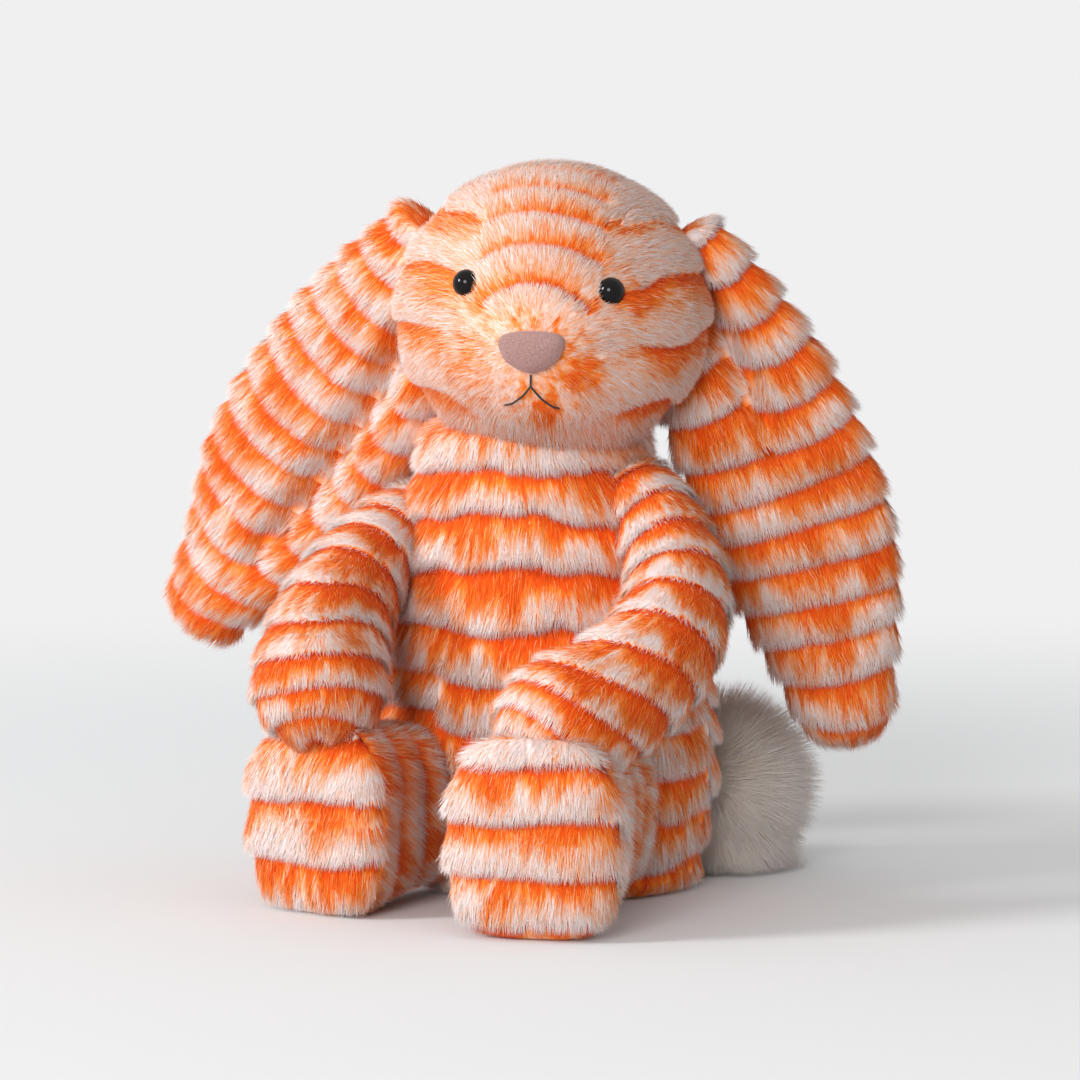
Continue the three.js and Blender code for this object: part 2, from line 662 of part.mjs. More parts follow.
// Mouth: one stitched thread, a stem below the nose that parts into two arcs, half sunk in the pile
function mouthSolid(grow) {
  const noseTip = -NOSE_DROP - NOSE_HEIGHT / 2 - THREAD_DIAMETER;
  const fork = noseTip - MOUTH_STEM;
  const onFace = ([across, up]) => headPoint(headDirection(across, up), 0);
  const section = new THREE.Shape().absarc(0, 0, THREAD_DIAMETER / 2 + grow, 0, 2 * Math.PI);
  const thread = (places) => {
    const extrudePath = new THREE.CatmullRomCurve3(places.map(onFace));
    const curveSegments = THREAD_SIDES / 2;
    const options = { extrudePath, steps: THREAD_STEPS, curveSegments, bevelEnabled: false };
    return solid(sharedPoints(new THREE.ExtrudeGeometry(section, options)));
  };
  const stem = thread([[0, noseTip + grow], [0, (noseTip + fork) / 2], [0, fork - THREAD_DIAMETER / 2]]);
  const half = MOUTH_WIDTH / 2 + grow;
  const corner = fork - MOUTH_DROP - grow;
  const halfway = fork - MOUTH_DROP * MOUTH_CURVE;
  const arcs = thread([
    [-half, corner],
    [-half / 2, halfway],
    [0, fork],
    [half / 2, halfway],
    [half, corner],
  ]);
  return stem.add(arcs);
}

// The middle strip of the head, wide at the top and narrow at the nose.
function gussetBlock(grow) {
  const top = GUSSET_TOP_WIDTH / 2 + grow;
  const bottom = GUSSET_NOSE_WIDTH / 2 + grow;
  const low = -NOSE_DROP - grow;
  const outline = new THREE.Shape();
  outline.moveTo(-bottom, low);
  outline.lineTo(bottom, low);
  outline.lineTo(top, HEAD_HEIGHT / 4);
  outline.lineTo(top, HEAD_HEIGHT);
  outline.lineTo(-top, HEAD_HEIGHT);
  outline.lineTo(-top, HEAD_HEIGHT / 4);
  const depth = 2 * HEAD_DEPTH;
  const block = sharedPoints(new THREE.ExtrudeGeometry(outline, { depth, bevelEnabled: false }));
  return solid(block.rotateX(Math.PI / 2).translate(0, depth / 2, 0).applyMatrix4(headPlace));
}

function makeHead() {
  const group = bodyGroup(neckJoint.pivot);
  const neckFacet = (NECK_WIDTH / 2) * (1 - Math.cos(Math.PI / BODY_SIDES));
  const neckRoom = solid(bodyForm(-GAP - neckFacet));
  const { cover, stuffing } = stuffed(headForm, [neckRoom]);
  const fittings = ["left", "right"].flatMap((side) => [eyeSolid(side, GAP), washerSolid(side, GAP)]);
  const holes = [noseSolid(GAP), mouthSolid(GAP), ...fittings];
  const openCover = holes.reduce((rest, hole) => rest.subtract(hole), cover);
  const gusset = openCover.intersect(gussetBlock(0));
  const leftward = LEFTWARD.clone().transformDirection(headPlace);
  const [left, right] = sewnHalves(openCover.subtract(gussetBlock(GAP)), headCentre, leftward);
  const pockets = ["left", "right"].map(washerPocket);
  const openStuffing = pockets.reduce((rest, pocket) => rest.subtract(pocket), stuffing);

  addPiece(group, "head_gusset", gusset, "plush");
  addPiece(group, "head_left_panel", left, "palePlush");
  addPiece(group, "head_right_panel", right, "palePlush");
  addPiece(group, "head_stuffing", openStuffing, "fibre");
  addPiece(group, "nose_patch", noseSolid(0), "suede");
  addPiece(group, "mouth_thread", mouthSolid(0), "thread");
  for (const side of ["left", "right"]) {
    addPiece(group, `${side}_eye`, eyeSolid(side, 0), "glossyBlack");
    addPiece(group, `${side}_eye_washer`, washerSolid(side, 0), "plainPlastic");
  }
  return group;
}

function makeEar(side) {
  const joint = earJoint(side);
  const group = bodyGroup(joint.pivot);
  const headRoom = roomTaken(headForm, joint);
  const lobe = solid(earForm(side, 0)).subtract(headRoom).subtract(solid(armForm(side, -GAP)));
  const { root, frontward } = earFrame(side);
  const [front, back] = sewnHalves(lobe, root, frontward);
  addPiece(group, `${side}_ear_front_panel`, front, "plush");
  addPiece(group, `${side}_ear_back_panel`, back, "plush");
  return group;
}

function makeArm(side) {
  const joint = armJoint(side);
  const group = bodyGroup(joint.pivot);
  const bodyRoom = roomTaken(bodyForm, joint);
  const legRoom = roomTaken((shrink) => legForm(side, shrink), reversed(legJoint(side)));
  const { cover, stuffing } = stuffed((shrink) => armForm(side, shrink), [bodyRoom, legRoom]);
  const [outer, inner] = sewnHalves(cover, joint.pivot, armOutward(side));
  addPiece(group, `${side}_arm_outer_panel`, outer, "plush");
  addPiece(group, `${side}_arm_inner_panel`, inner, "plush");
  addPiece(group, `${side}_arm_stuffing`, stuffing, "fibre");
  return group;
}

// The same joint seen from the piece that stays while the other one turns.
function reversed({ pivot, axis, range }) {
  return { pivot, axis: axis.clone().negate(), range };
}

function makeLeg(side) {
  const joint = legJoint(side);
  const group = bodyGroup(joint.pivot);
  const bodyRoom = roomTaken(bodyForm, joint);
  const belowGround = sideOf(new THREE.Vector3(), UPWARD.clone().negate(), 0);
  const { cover, stuffing } = stuffed((shrink) => legForm(side, shrink), [bodyRoom, belowGround]);
  const { hip, forward } = legFrame(side);
  const soleSeam = hip.clone().addScaledVector(forward, LEG_REACH[side] - SOLE_ROUND - CLOTH);
  const [sole, tube] = sewnHalves(cover, soleSeam, forward);
  const outward = new THREE.Vector3().crossVectors(UPWARD, forward).multiplyScalar(MIRROR[side]);
  const [outer, inner] = sewnHalves(tube, hip, outward);
  addPiece(group, `${side}_leg_outer_panel`, outer, "plush");
  addPiece(group, `${side}_leg_inner_panel`, inner, "plush");
  addPiece(group, `${side}_leg_sole`, sole, "palePlush");
  addPiece(group, `${side}_leg_stuffing`, stuffing, "fibre");
  return group;
}

// The whole toy: each moving group hangs from the one that carries it
const rabbit = new THREE.Group();
rabbit.name = "plush_rabbit";
rabbit.add(makeBody(), makeTail());
const head = makeHead();
rabbit.add(head);
for (const side of ["left", "right"]) {
  const ear = makeEar(side);
  ear.position.sub(head.position);
  head.add(ear);
  rabbit.add(makeArm(side), makeLeg(side));
}

export default rabbit;
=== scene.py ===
"""A seated plush rabbit: striped long-pile plush, face and filling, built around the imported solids.

Everything is in metres, in the frame of the solids: the rabbit's body faces -Y, its own left is +X.
Each cover panel is a thin shell of cloth with tiers, and a pile of tapered strands that stand on it.
"""

import itertools
import json

import bpy
import numpy as np
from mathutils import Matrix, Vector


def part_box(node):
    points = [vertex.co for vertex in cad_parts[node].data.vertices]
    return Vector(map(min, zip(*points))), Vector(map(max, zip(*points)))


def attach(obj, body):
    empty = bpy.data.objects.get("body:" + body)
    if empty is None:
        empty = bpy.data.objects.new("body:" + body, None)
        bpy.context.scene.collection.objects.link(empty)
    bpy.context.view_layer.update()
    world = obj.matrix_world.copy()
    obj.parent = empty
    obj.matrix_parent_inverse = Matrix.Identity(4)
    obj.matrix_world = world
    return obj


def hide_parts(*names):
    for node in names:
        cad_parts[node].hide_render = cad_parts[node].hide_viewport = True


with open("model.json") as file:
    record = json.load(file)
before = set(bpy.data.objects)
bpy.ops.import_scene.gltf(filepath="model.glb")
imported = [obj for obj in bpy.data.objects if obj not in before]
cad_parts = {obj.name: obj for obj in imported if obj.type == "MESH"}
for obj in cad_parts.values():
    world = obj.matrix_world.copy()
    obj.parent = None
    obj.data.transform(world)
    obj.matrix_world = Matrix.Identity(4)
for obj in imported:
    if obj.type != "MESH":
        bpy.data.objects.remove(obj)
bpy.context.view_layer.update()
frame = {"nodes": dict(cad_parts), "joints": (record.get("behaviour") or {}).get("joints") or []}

bl_info = {
    "name": "Plush rabbit",
    "version": (1, 0, 0),
    "blender": (4, 5, 0),
    "location": "View3D > Sidebar > Plush rabbit",
    "description": "Makes the cloth, pile, face and filling of a seated plush rabbit around its solids",
    "category": "Object",
}

MM = 0.001
JOINTS = {joint["name"]: joint for joint in frame["joints"]}
SIDES = {"left": 1, "right": -1}
UP = np.array([0.0, 0.0, 1.0])
LEFT = np.array([1.0, 0.0, 0.0])
NEARLY_DOWN = -UP + 1e-6 * LEFT  # never quite along a normal
TURN = 2 * np.pi
QUARTER = np.pi / 2
BAKE_MAP = "OFBake"

# Body
BODY_HEIGHT = 158 * MM
NECK_DOME = 14 * MM
NECK_WIDTH = 72 * MM
NECK_FORWARD = 2 * MM
NECK_ASIDE = 7 * MM
BODY_HEIGHTS = np.array([0, 38, 88, 122, 144]) * MM
BODY_WIDTHS = np.array([90, 108, 102, 88, 72]) * MM
BODY_DEPTHS = np.array([82, 98, 86, 76, 72]) * MM
SEAT_ROUND = 9 * MM
SEAT_SEAM = 0.1

# Head
HEAD_SIZE = np.array([97, 90, 94]) * MM
HEAD_CENTRE = np.array([2.5, -8, 187]) * MM
HEAD_TURN = 12.5
HEAD_ROLL = 3
MUZZLE_LENGTH = 6 * MM
MUZZLE_SPREAD = 0.6
CHEEK_FULLNESS = 3 * MM
CHEEK_SPREAD = 0.7
CHIN_FULLNESS = 3 * MM
CHIN_SPREAD = 0.6
GUSSET_HALF_ANGLE = 33

# Face
EYE_ACROSS = 0.2275 * HEAD_SIZE[0]
EYE_RISE = 7.6 * MM
EYE_RADIUS = 4.5 * MM
EYE_DOME = 4.5 * MM
EYE_SINK = 2 * MM
EYE_POST_RADIUS = 1.5 * MM
EYE_POST_LENGTH = 10 * MM
EYE_BACK = np.array([  # radius and depth of each ring behind the dome
    (0.96 * EYE_RADIUS, 0.5 * MM), (1.3 * EYE_POST_RADIUS, 0.7 * MM),
    (EYE_POST_RADIUS, 1.2 * MM), (0.9 * EYE_POST_RADIUS, EYE_POST_LENGTH)])
NOSE_DROP = 10.8 * MM
NOSE_WIDTH = 21 * MM
NOSE_HEIGHT = 13 * MM
NOSE_TAPER = 0.42
NOSE_FULLNESS = 0.7
NOSE_BULGE = 3 * MM
NOSE_DEPTH = 4 * MM
NOSE_BACK = np.array([(1, 0.6), (0.97, 1), (0.02, 1)])  # shares of outline and depth, of each ring behind
THREAD_RADIUS = 0.32 * MM
MOUTH_STEM = 2.1 * MM
MOUTH_WIDTH = 15.5 * MM
MOUTH_DROP = 6.2 * MM
MOUTH_CURVE = 0.7
STEM_TUCK = 0.5 * MM
FORK_LOWER = 1.2 * MM
THREAD_RIDGES, THREAD_RIDGE, THREAD_TWIST = 3, 0.16, 0.7
THREAD_END = 0.5

# Bare cloth: no strands stand under the head, nose, eyes and neck, within these shares of their sizes
BARE_HEAD, BARE_NOSE, BARE_EYE, BARE_NECK = 0.8, 0.46, 0.8, 0.36
BARE_NOSE_DEPTH = 10 * MM
BARE_NECK_DROP = 1 * MM

# Ears
EAR_LENGTH = {"left": 157 * MM, "right": 165 * MM}
EAR_TIP = 12 * MM
EAR_ROOT_ROUND = {"left": 8 * MM, "right": 4 * MM}
EAR_BOW = {"left": 6.5 * MM, "right": 0 * MM}
EAR_BOW_PEAK = 4.5
EAR_ROOT_WIDTH = 40 * MM
EAR_WIDTH = {"left": 58 * MM, "right": 64 * MM}
EAR_END_WIDTH = 32 * MM
EAR_THICKNESS = 22 * MM
EAR_SPLAY = {"left": 20.5, "right": 42}
EAR_CREASE_AT = {"left": 0.05, "right": -0.35}
EAR_CREASE_END = {"left": 0.5, "right": 0.85}
EAR_CREASE_FADE = 0.25
EAR_CREASE_DEPTH = 9 * MM
EAR_CREASE_WIDTH = 0.17
EAR_CREASE_FRONT = (-0.1, 0.4)
EAR_ROLL = 5 * MM

# Arms
SHOULDER_THICKNESS = 27 * MM
ELBOW_THICKNESS = 35 * MM
PAW_THICKNESS = 42 * MM
ELBOW_PLACE = {"left": (20, -30, -34), "right": (6, -36, -20)}
PAW_PLACE = {"left": (0, -73, -62), "right": (1, -68, -44)}

# Legs
LEG_ROOT = 22 * MM
LEG_REACH = {"left": 88 * MM, "right": 67 * MM}
SOLE_ROUND = 10 * MM
LEG_SIZE = (42 * MM, 50 * MM)
FOOT_SIZE = (55 * MM, 62 * MM)
FOOT_DEPTH = 34 * MM
FOOT_SQUARENESS = 2.9
SOLE_FLATNESS = 0.55
TOE_OUT = {"left": 5, "right": 20}
SOLE_PITCH = {"left": 16.3 * MM, "right": 19 * MM}
SOLE_GROOVE = 38 * MM

# Tail
TAIL_RADIUS = 29 * MM
TAIL_SINK = 13 * MM

# Cloth: SKIN_ROWS and SKIN_COLUMNS are the steps of its grid, and one row in INNER_STEP is on its inside too
CLOTH_THICKNESS = 1.5 * MM
SKIN_ROWS = 1.1 * MM
SKIN_COLUMNS = 2.2 * MM
LEAST_COLUMNS = 6
INNER_STEP = 4
GROUND_GAP = 0.4 * MM

# Strands: corners 0 to 2 are the ring at the root, and 3 is the tip
STRAND_FACES = np.array([[1, 0, 3], [2, 1, 3], [0, 2, 3]])
STRAND_SHADES = np.array([0, 0.02, 0.04, 0.02])
STRAND_RIDGE = 1.4
STRAND_LIT = 0.3
PLASTIC_STEPS = (0.7548776662466927, 0.5698402909980532)  # even steps in a plane, from the plastic number

# Pile: tints and shades are places on the colour ramps. FROM and TO are spans within a tier, from groove to
# lip, over which the value beside them sets in or fades
SKIN_TINT, SKIN_TINT_MORE = 0.14, 0.7
# Painted shade: the cloth's tint is drawn towards deep orange near each groove
SKIN_PAINTED_GROOVE_SHADE, SKIN_PAINTED_GROOVE_SHADE_TO = 0.12, (0.02, 0.2)
# Painted shade: the cloth's brightness is lowest at each groove and lifted by the second value towards the
# lip
SKIN_SHADE, SKIN_PAINTED_SHADE_LIFT = 0.4, 0.2
CROWD, CROWD_MORE, CROWD_FROM = 0.8, 0.7, (0.5, 0.95)
LOOSE_CELL = 3.6 * MM
LOOSE_TUFT, LOOSE_STRAND = 0.26, 0.11
GROWN, GROWN_MORE, GROWN_FROM = 0.66, 0.34, (0.05, 0.5)
GROWN_LESS, GROWN_LESS_FROM = 0.28, (0.72, 1)
GROWN_PLAIN = 0.87
LONGER = 0.75
WIDTHS = (0.8, 1.25)
LEAN_SPREAD = 6
FLICKER = 0.05
# Painted shade: strands rooted near a groove get a deeper tint
STRAND_PAINTED_GROOVE_SHADE, STRAND_PAINTED_GROOVE_SHADE_TO = 0.14, (0.02, 0.24)
PALE_STRANDS = 0.22
ROOT_TINT, ROOT_TINT_MORE = 0.12, 0.62
TIP_TINT, TIP_TINT_MORE = 0.26, 0.74
SHADE, SHADE_SPREAD, SHADES = 0.5, 0.16, (0.02, 0.94)

# Filling
FILLING_ROWS = 28
FILLING_COLUMNS = 35
FILLING_END = 0.98
FILLING_LUMPS = ((2.2 * MM, 11 * MM), (0.8 * MM, 4 * MM))
FILLING_FLOOR = 8 * MM

# Pouch: its pellets are a multiple of their radius apart, and fill a share of its dome, given squared
POUCH_PLEATS, POUCH_PLEAT = 12, 0.05
POUCH_RISE = (0.02, 0.93)
POUCH_FLOOR = 0.03
PELLET_RADIUS = 2.6 * MM
PELLET_SPACING = 2.15
PELLETS_WITHIN = 0.82

# Stage
FLOOR_RADIUS = 2.6
FLOOR_FADE = (0.3, 1.0)
FLOOR_MAP = 6
LAMP_AIM = (0, 0, 0.1)
ROOM_SEEN = (240, 240, 241)

# Odd numbers that scatter the bits of a cell's place, and of the seed, in soft_noise
SCATTER = tuple(np.uint64(odd) for odd in (0x9E3779B97F4A7C15, 0xBF58476D1CE4E5B9, 0x94D049BB133111EB))
SEED_SCATTER = 0x632BE59BD9B4E019


def unit(vectors):
    """Vectors scaled to length 1."""
    return vectors / np.maximum(np.linalg.norm(vectors, axis=-1, keepdims=True), 1e-12)


def eased(low, high, values):
    """A smooth step: 0 below low, 1 above high, with level ends."""
    share = np.clip((values - low) / (high - low), 0, 1)
    return share * share * (3 - 2 * share)


def rotation(axis, degrees):
    """The matrix that turns by an angle about x, y or z (0, 1, 2)."""
    angle = np.radians(degrees)
    first, second = (axis + 1) % 3, (axis + 2) % 3
    matrix = np.eye(3)
    matrix[first, first] = matrix[second, second] = np.cos(angle)
    matrix[second, first] = np.sin(angle)
    matrix[first, second] = -np.sin(angle)
    return matrix


def along_surface(direction, normals):
    """The part of a direction that lies in the surface, at length 1."""
    return unit(direction - np.sum(direction * normals, axis=-1, keepdims=True) * normals)


def smooth_between(places, values, at):
    """A cubic curve through values at places: each slope comes from the neighbouring values."""
    values = np.asarray(values, float)
    slopes = np.gradient(values, places, axis=0)
    span = np.clip(np.searchsorted(places, at, side="right") - 1, 0, len(places) - 2)
    width = places[span + 1] - places[span]
    share = (at - places[span]) / width
    rise = share * share * (3 - 2 * share)
    start = share * (1 - share) ** 2
    end = share * share * (share - 1)
    level = values[span] * (1 - rise) + values[span + 1] * rise
    return level + width * (slopes[span] * start + slopes[span + 1] * end)


def soft_noise(points, cell, seed):
    """Smooth random values from -1 to 1: random values at the corners of cells, eased between them."""
    scaled = points / cell
    corner = np.floor(scaled)
    ease = scaled - corner
    ease = ease * ease * (3 - 2 * ease)
    corner = corner.astype(np.int64).astype(np.uint64)
    total = np.zeros(points.shape[:-1])
    for step in itertools.product((0, 1), repeat=3):
        place = corner + np.array(step, np.uint64)
        mixed = place[..., 0] * SCATTER[0]
        for axis, shift in ((1, 29), (2, 31)):
            mixed = (mixed ^ (mixed >> np.uint64(shift))) + place[..., axis] * SCATTER[axis]
        mixed = (mixed ^ (mixed >> np.uint64(27))) * np.uint64(2 * seed + SEED_SCATTER)
        value = (mixed >> np.uint64(40)).astype(float) / (1 << 24)
        weight = np.prod(np.where(np.array(step) == 1, ease, 1 - ease), axis=-1)
        total += weight * value
    return 2 * total - 1


def running_sum(values):
    """The sums of the values so far, from 0."""
    return np.concatenate([[0], np.cumsum(values)])


def distance(points, place):
    """How far points are from a place."""
    return np.linalg.norm(points - place, axis=-1)


def ring_angles(count):
    """Even angles round a ring."""
    return np.linspace(0, TURN, count + 1)[:-1]


def trimmed(least, gain, near, far, distances):
    """The share of the pile that is left: least up to near, and more by gain from far on, in millimetres."""
    return least + gain * eased(near * MM, far * MM, distances)


class Form:
    """A closed soft shape: points as a function of two shares, along it and around it."""

    def __init__(self, surface, length, girth):
        self.surface = surface
        self.length = length
        self.girth = girth
        self.facing = 1
        along, around = np.meshgrid(np.linspace(0.1, 0.9, 20), np.linspace(0, 1, 24), indexing="ij")
        points, normals, _ = self.frame_at(along, around)
        self.facing = np.sign(np.sum(normals * (points - points.mean(axis=(0, 1)))))

    def frame_at(self, along, around):
        """Points, outward normals and lengthwise directions, from small steps of both shares."""
        step = 1e-3
        points = self.surface(along, around)
        after, before = np.minimum(along + step, 1), np.maximum(along - step, 0)
        ahead = self.surface(after, around) - self.surface(before, around)
        beside = self.surface(along, around + step) - self.surface(along, around - step)
        normals = unit(np.cross(ahead, beside)) * self.facing
        return points, normals, unit(ahead)


def body_form():
    """Oval rings down a profile: a neck dome, the swelling sides, a rounded seat edge and the flat seat."""
    dome = np.linspace(0.02, 1, 12) * QUARTER
    heights = np.linspace(BODY_HEIGHT - NECK_DOME, SEAT_ROUND, 80)
    edge = np.linspace(0, 1, 10) * QUARTER
    seat = np.linspace(1, 0.01, 20)
    rise = np.concatenate([
        BODY_HEIGHT - NECK_DOME + NECK_DOME * np.cos(dome),
        heights,
        SEAT_ROUND * (1 - np.sin(edge)),
        np.zeros_like(seat),
    ])

    def across(sizes):
        """Full sizes of the rings down the profile, one way across."""
        at_seat = smooth_between(BODY_HEIGHTS, sizes, np.array([SEAT_ROUND]))[0]
        return np.concatenate([
            NECK_WIDTH * np.sin(dome),
            smooth_between(BODY_HEIGHTS, sizes, heights),
            at_seat - 2 * SEAT_ROUND * (1 - np.cos(edge)),
            (at_seat - 2 * SEAT_ROUND) * seat,
        ])

    wide, deep = across(BODY_WIDTHS), across(BODY_DEPTHS)
    place = running_sum(np.hypot(np.diff(rise), np.diff(wide) / 2))
    length = place[-1]

    def surface(along, around):
        at = along * length
        angle = TURN * around
        height = np.interp(at, place, rise)
        x = np.interp(at, place, wide) / 2 * np.cos(angle) - NECK_ASIDE * height / BODY_HEIGHT
        y = np.interp(at, place, deep) / 2 * np.sin(angle) - NECK_FORWARD * height / BODY_HEIGHT
        return np.stack([x, y, height], axis=-1)

    form = Form(surface, length, np.pi * BODY_WIDTHS.max())
    below = len(dome)
    form.seat_from = np.interp(-SEAT_ROUND * SEAT_SEAM, -rise[below:], place[below:]) / length
    return form


HEAD_MATRIX = rotation(2, HEAD_TURN) @ rotation(1, HEAD_ROLL)
MUZZLE = unit(np.array([0, -HEAD_SIZE[1], -2 * NOSE_DROP]))
CHIN = unit(np.array([0, -0.45, -1.0]))
MUZZLE_UP = unit(np.cross(LEFT, MUZZLE) * np.sign(np.cross(LEFT, MUZZLE)[2]))


def hill(cosine, height, spread):
    """A bell-shaped rise over the angle, given by its cosine, from the direction of its top."""
    return height * np.exp(-(np.arccos(np.clip(cosine, -1, 1)) / spread) ** 2)


def head_points(directions):
    """The head's surface in a direction: an oval with hills for the two cheeks, the muzzle and the chin."""
    cheek_side = np.stack([
        np.where(directions[..., 0] < 0, -1.0, 1.0),
        np.full(directions.shape[:-1], MUZZLE[1] / 2),
        np.full(directions.shape[:-1], MUZZLE[2]),
    ], axis=-1)
    hills = hill(np.sum(directions * unit(cheek_side), axis=-1), CHEEK_FULLNESS, CHEEK_SPREAD)
    hills = hills + hill(directions @ MUZZLE, MUZZLE_LENGTH, MUZZLE_SPREAD)
    hills = hills + hill(directions @ CHIN, CHIN_FULLNESS, CHIN_SPREAD)
    local = directions * (HEAD_SIZE / 2) + directions * hills[..., None]
    return local @ HEAD_MATRIX.T + HEAD_CENTRE


def head_directions(along, around):
    """Directions by their angle from the muzzle and their turn about it, a quarter turn being up."""
    theta = np.pi * along
    phi = TURN * around
    sideways = np.cos(phi)[..., None] * LEFT + np.sin(phi)[..., None] * MUZZLE_UP
    return np.cos(theta)[..., None] * MUZZLE + np.sin(theta)[..., None] * sideways


def head_form():
    """The head's surface in rings about the muzzle."""
    def surface(along, around):
        return head_points(head_directions(along, around))

    radius = HEAD_SIZE.mean() / 2
    return Form(surface, np.pi * radius, TURN * radius)


def face_frame(across, rise):
    """The place on the head at offsets across and up the face, with axes across, up and out."""
    x = 2 * across / HEAD_SIZE[0]
    z = 2 * rise / HEAD_SIZE[2]
    direction = np.array([x, -np.sqrt(1 - x * x - z * z), z])
    step = 0.02
    sideways = unit(np.cross(UP, direction))
    upward = np.cross(direction, sideways)
    slope = [
        head_points(unit(direction + step * tangent)) - head_points(unit(direction - step * tangent))
        for tangent in (sideways, upward)
    ]
    out = unit(np.cross(*slope))
    aside = unit(np.cross(UP, out))
    return head_points(direction), np.stack([aside, np.cross(out, aside), out])


def limb_form(spine, upright, sizes, cap, squareness=2.0, flatness=1.0, fold=None, root=None):
    """Oval sections carried along a curve, with a round end and, where root gives its length, a round start.

    Each row of sizes is (share of the curve, full size across, full size upright). A fold adds to a point's
    upright offset, from its share along the limb and its offsets across and upright.
    """
    place = running_sum(np.linalg.norm(np.diff(spine, axis=0), axis=1))
    tangents = unit(np.gradient(spine, place, axis=0))
    body_length = place[-1]
    sizes = np.asarray(sizes, float)
    rows = sizes[:, 0] * body_length

    def dome(height, width):
        """How a rounded end narrows and rises with the distance over it."""
        turn = np.linspace(0, QUARTER, 200)
        narrow = np.cos(turn) ** flatness
        rise = height * np.sin(turn)
        over = np.hypot(np.diff(narrow) * width / 2, np.diff(rise))
        return running_sum(over), narrow, rise

    cap_place, cap_scale, cap_rise = dome(cap, sizes[-1, 1:].mean())
    root_place, root_scale, root_rise = dome(root or 1e-6, sizes[0, 1:].mean() if root else 1e-6)
    begin = root_place[-1]
    length = begin + body_length + cap_place[-1]

    def surface(along, around):
        at = along * length - begin
        inside = np.clip(at, 0, body_length)
        over = np.maximum(at - body_length, 0)
        before = np.maximum(-at, 0)
        centre, forward = (
            np.stack([np.interp(inside, place, line[:, axis]) for axis in range(3)], axis=-1)
            for line in (spine, tangents)
        )
        forward = unit(forward)
        across = unit(np.cross(upright, forward))
        scale = np.interp(over, cap_place, cap_scale)
        if root:
            scale = scale * np.interp(before, root_place, root_scale)
        scale = np.maximum(scale, 0.01)
        angle = TURN * around
        aside, raised = (
            np.sign(turn) * np.abs(turn) ** (2 / squareness) for turn in (np.cos(angle), np.sin(angle))
        )
        half_across = smooth_between(rows, sizes[:, 1], inside) / 2 * scale
        half_upright = smooth_between(rows, sizes[:, 2], inside) / 2 * scale
        offset = half_upright * raised
        if fold is not None:
            offset = offset + fold(along, aside, raised) * scale
        rise = np.interp(over, cap_place, cap_rise) - np.interp(before, root_place, root_rise)
        points = centre + forward * rise[..., None]
        return points + across * (half_across * aside)[..., None] + upright * offset[..., None]

    form = Form(surface, length, np.pi * sizes[:, 1:].mean())
    form.cap_from = (begin + body_length) / length
    return form


def pivot(joint):
    """Where a joint turns, from the frame."""
    return np.array(JOINTS[joint]["pos_m"])


def crease_fade(side, along):
    """How much is left of an ear's crease: 1 at the root, 0 from the crease's end on."""
    end = EAR_CREASE_END[side]
    return 1 - eased(end - EAR_CREASE_FADE, end, along)


def ear_form(side):
    """A flat padded lobe on a bowed line, creased lengthwise in front and its outer edge rolled forward."""
    frontward = np.array(JOINTS[f"{side}_ear_lift"]["axis"]) * SIDES[side]
    outward = unit(np.cross(frontward, UP)) * SIDES[side] * np.sign(np.cross(frontward, UP)[0])
    downward = unit(np.cross(frontward, outward))
    downward = downward * -np.sign(downward[2])
    splay = np.radians(EAR_SPLAY[side])
    share = np.linspace(0, 1, 60)
    bow = EAR_BOW[side] * EAR_BOW_PEAK * share * (1 - share)
    down = EAR_LENGTH[side] * share * np.cos(splay) - bow * np.sin(splay)
    out = EAR_LENGTH[side] * share * np.sin(splay) + bow * np.cos(splay)
    spine = pivot(f"{side}_ear_lift") + down[:, None] * downward + out[:, None] * outward
    sizes = [
        (0, EAR_ROOT_WIDTH, EAR_THICKNESS),
        (1 / 3, EAR_WIDTH[side], EAR_THICKNESS),
        (2 / 3, EAR_WIDTH[side], EAR_THICKNESS),
        (1, EAR_END_WIDTH, EAR_THICKNESS),
    ]
    forward = unit(spine[-1] - spine[0])
    outer = np.sign(np.cross(frontward, forward) @ outward)

    def fold(along, aside, raised):
        place = outer * aside
        fade = crease_fade(side, along)
        crease = EAR_CREASE_DEPTH * fade
        crease = crease * np.exp(-((place - EAR_CREASE_AT[side]) / EAR_CREASE_WIDTH) ** 2)
        roll = EAR_ROLL * fade * eased(0, 1, place)
        return roll - crease * eased(*EAR_CREASE_FRONT, raised)

    form = limb_form(spine, frontward, sizes, EAR_TIP, fold=fold, root=EAR_ROOT_ROUND[side])
    form.outer = outer
    return form


def arm_form(side):
    """A tapered tube on a smooth bend through shoulder, elbow and paw, with a round end."""
    mirror = np.array([SIDES[side], 1, 1]) * MM
    shoulder = pivot(f"{side}_arm_swing")
    elbow = shoulder + np.array(ELBOW_PLACE[side]) * mirror
    paw = shoulder + np.array(PAW_PLACE[side]) * mirror
    bend = np.linalg.norm(elbow - shoulder)
    bend = bend / (bend + np.linalg.norm(paw - elbow))
    share = np.linspace(0, 1, 60)[:, None]
    spine = shoulder * (share - bend) * (share - 1) / bend
    spine = spine + elbow * share * (share - 1) / (bend * (bend - 1))
    spine = spine + paw * share * (share - bend) / (1 - bend)
    outward = unit(np.cross(elbow - shoulder, paw - shoulder))
    outward = outward * np.sign(outward[0]) * SIDES[side]
    sizes = [
        (0, SHOULDER_THICKNESS, SHOULDER_THICKNESS),
        (0.5, ELBOW_THICKNESS, ELBOW_THICKNESS),
        (1, PAW_THICKNESS, PAW_THICKNESS),
    ]
    return limb_form(spine, outward, sizes, PAW_THICKNESS / 2, root=SHOULDER_THICKNESS / 2)


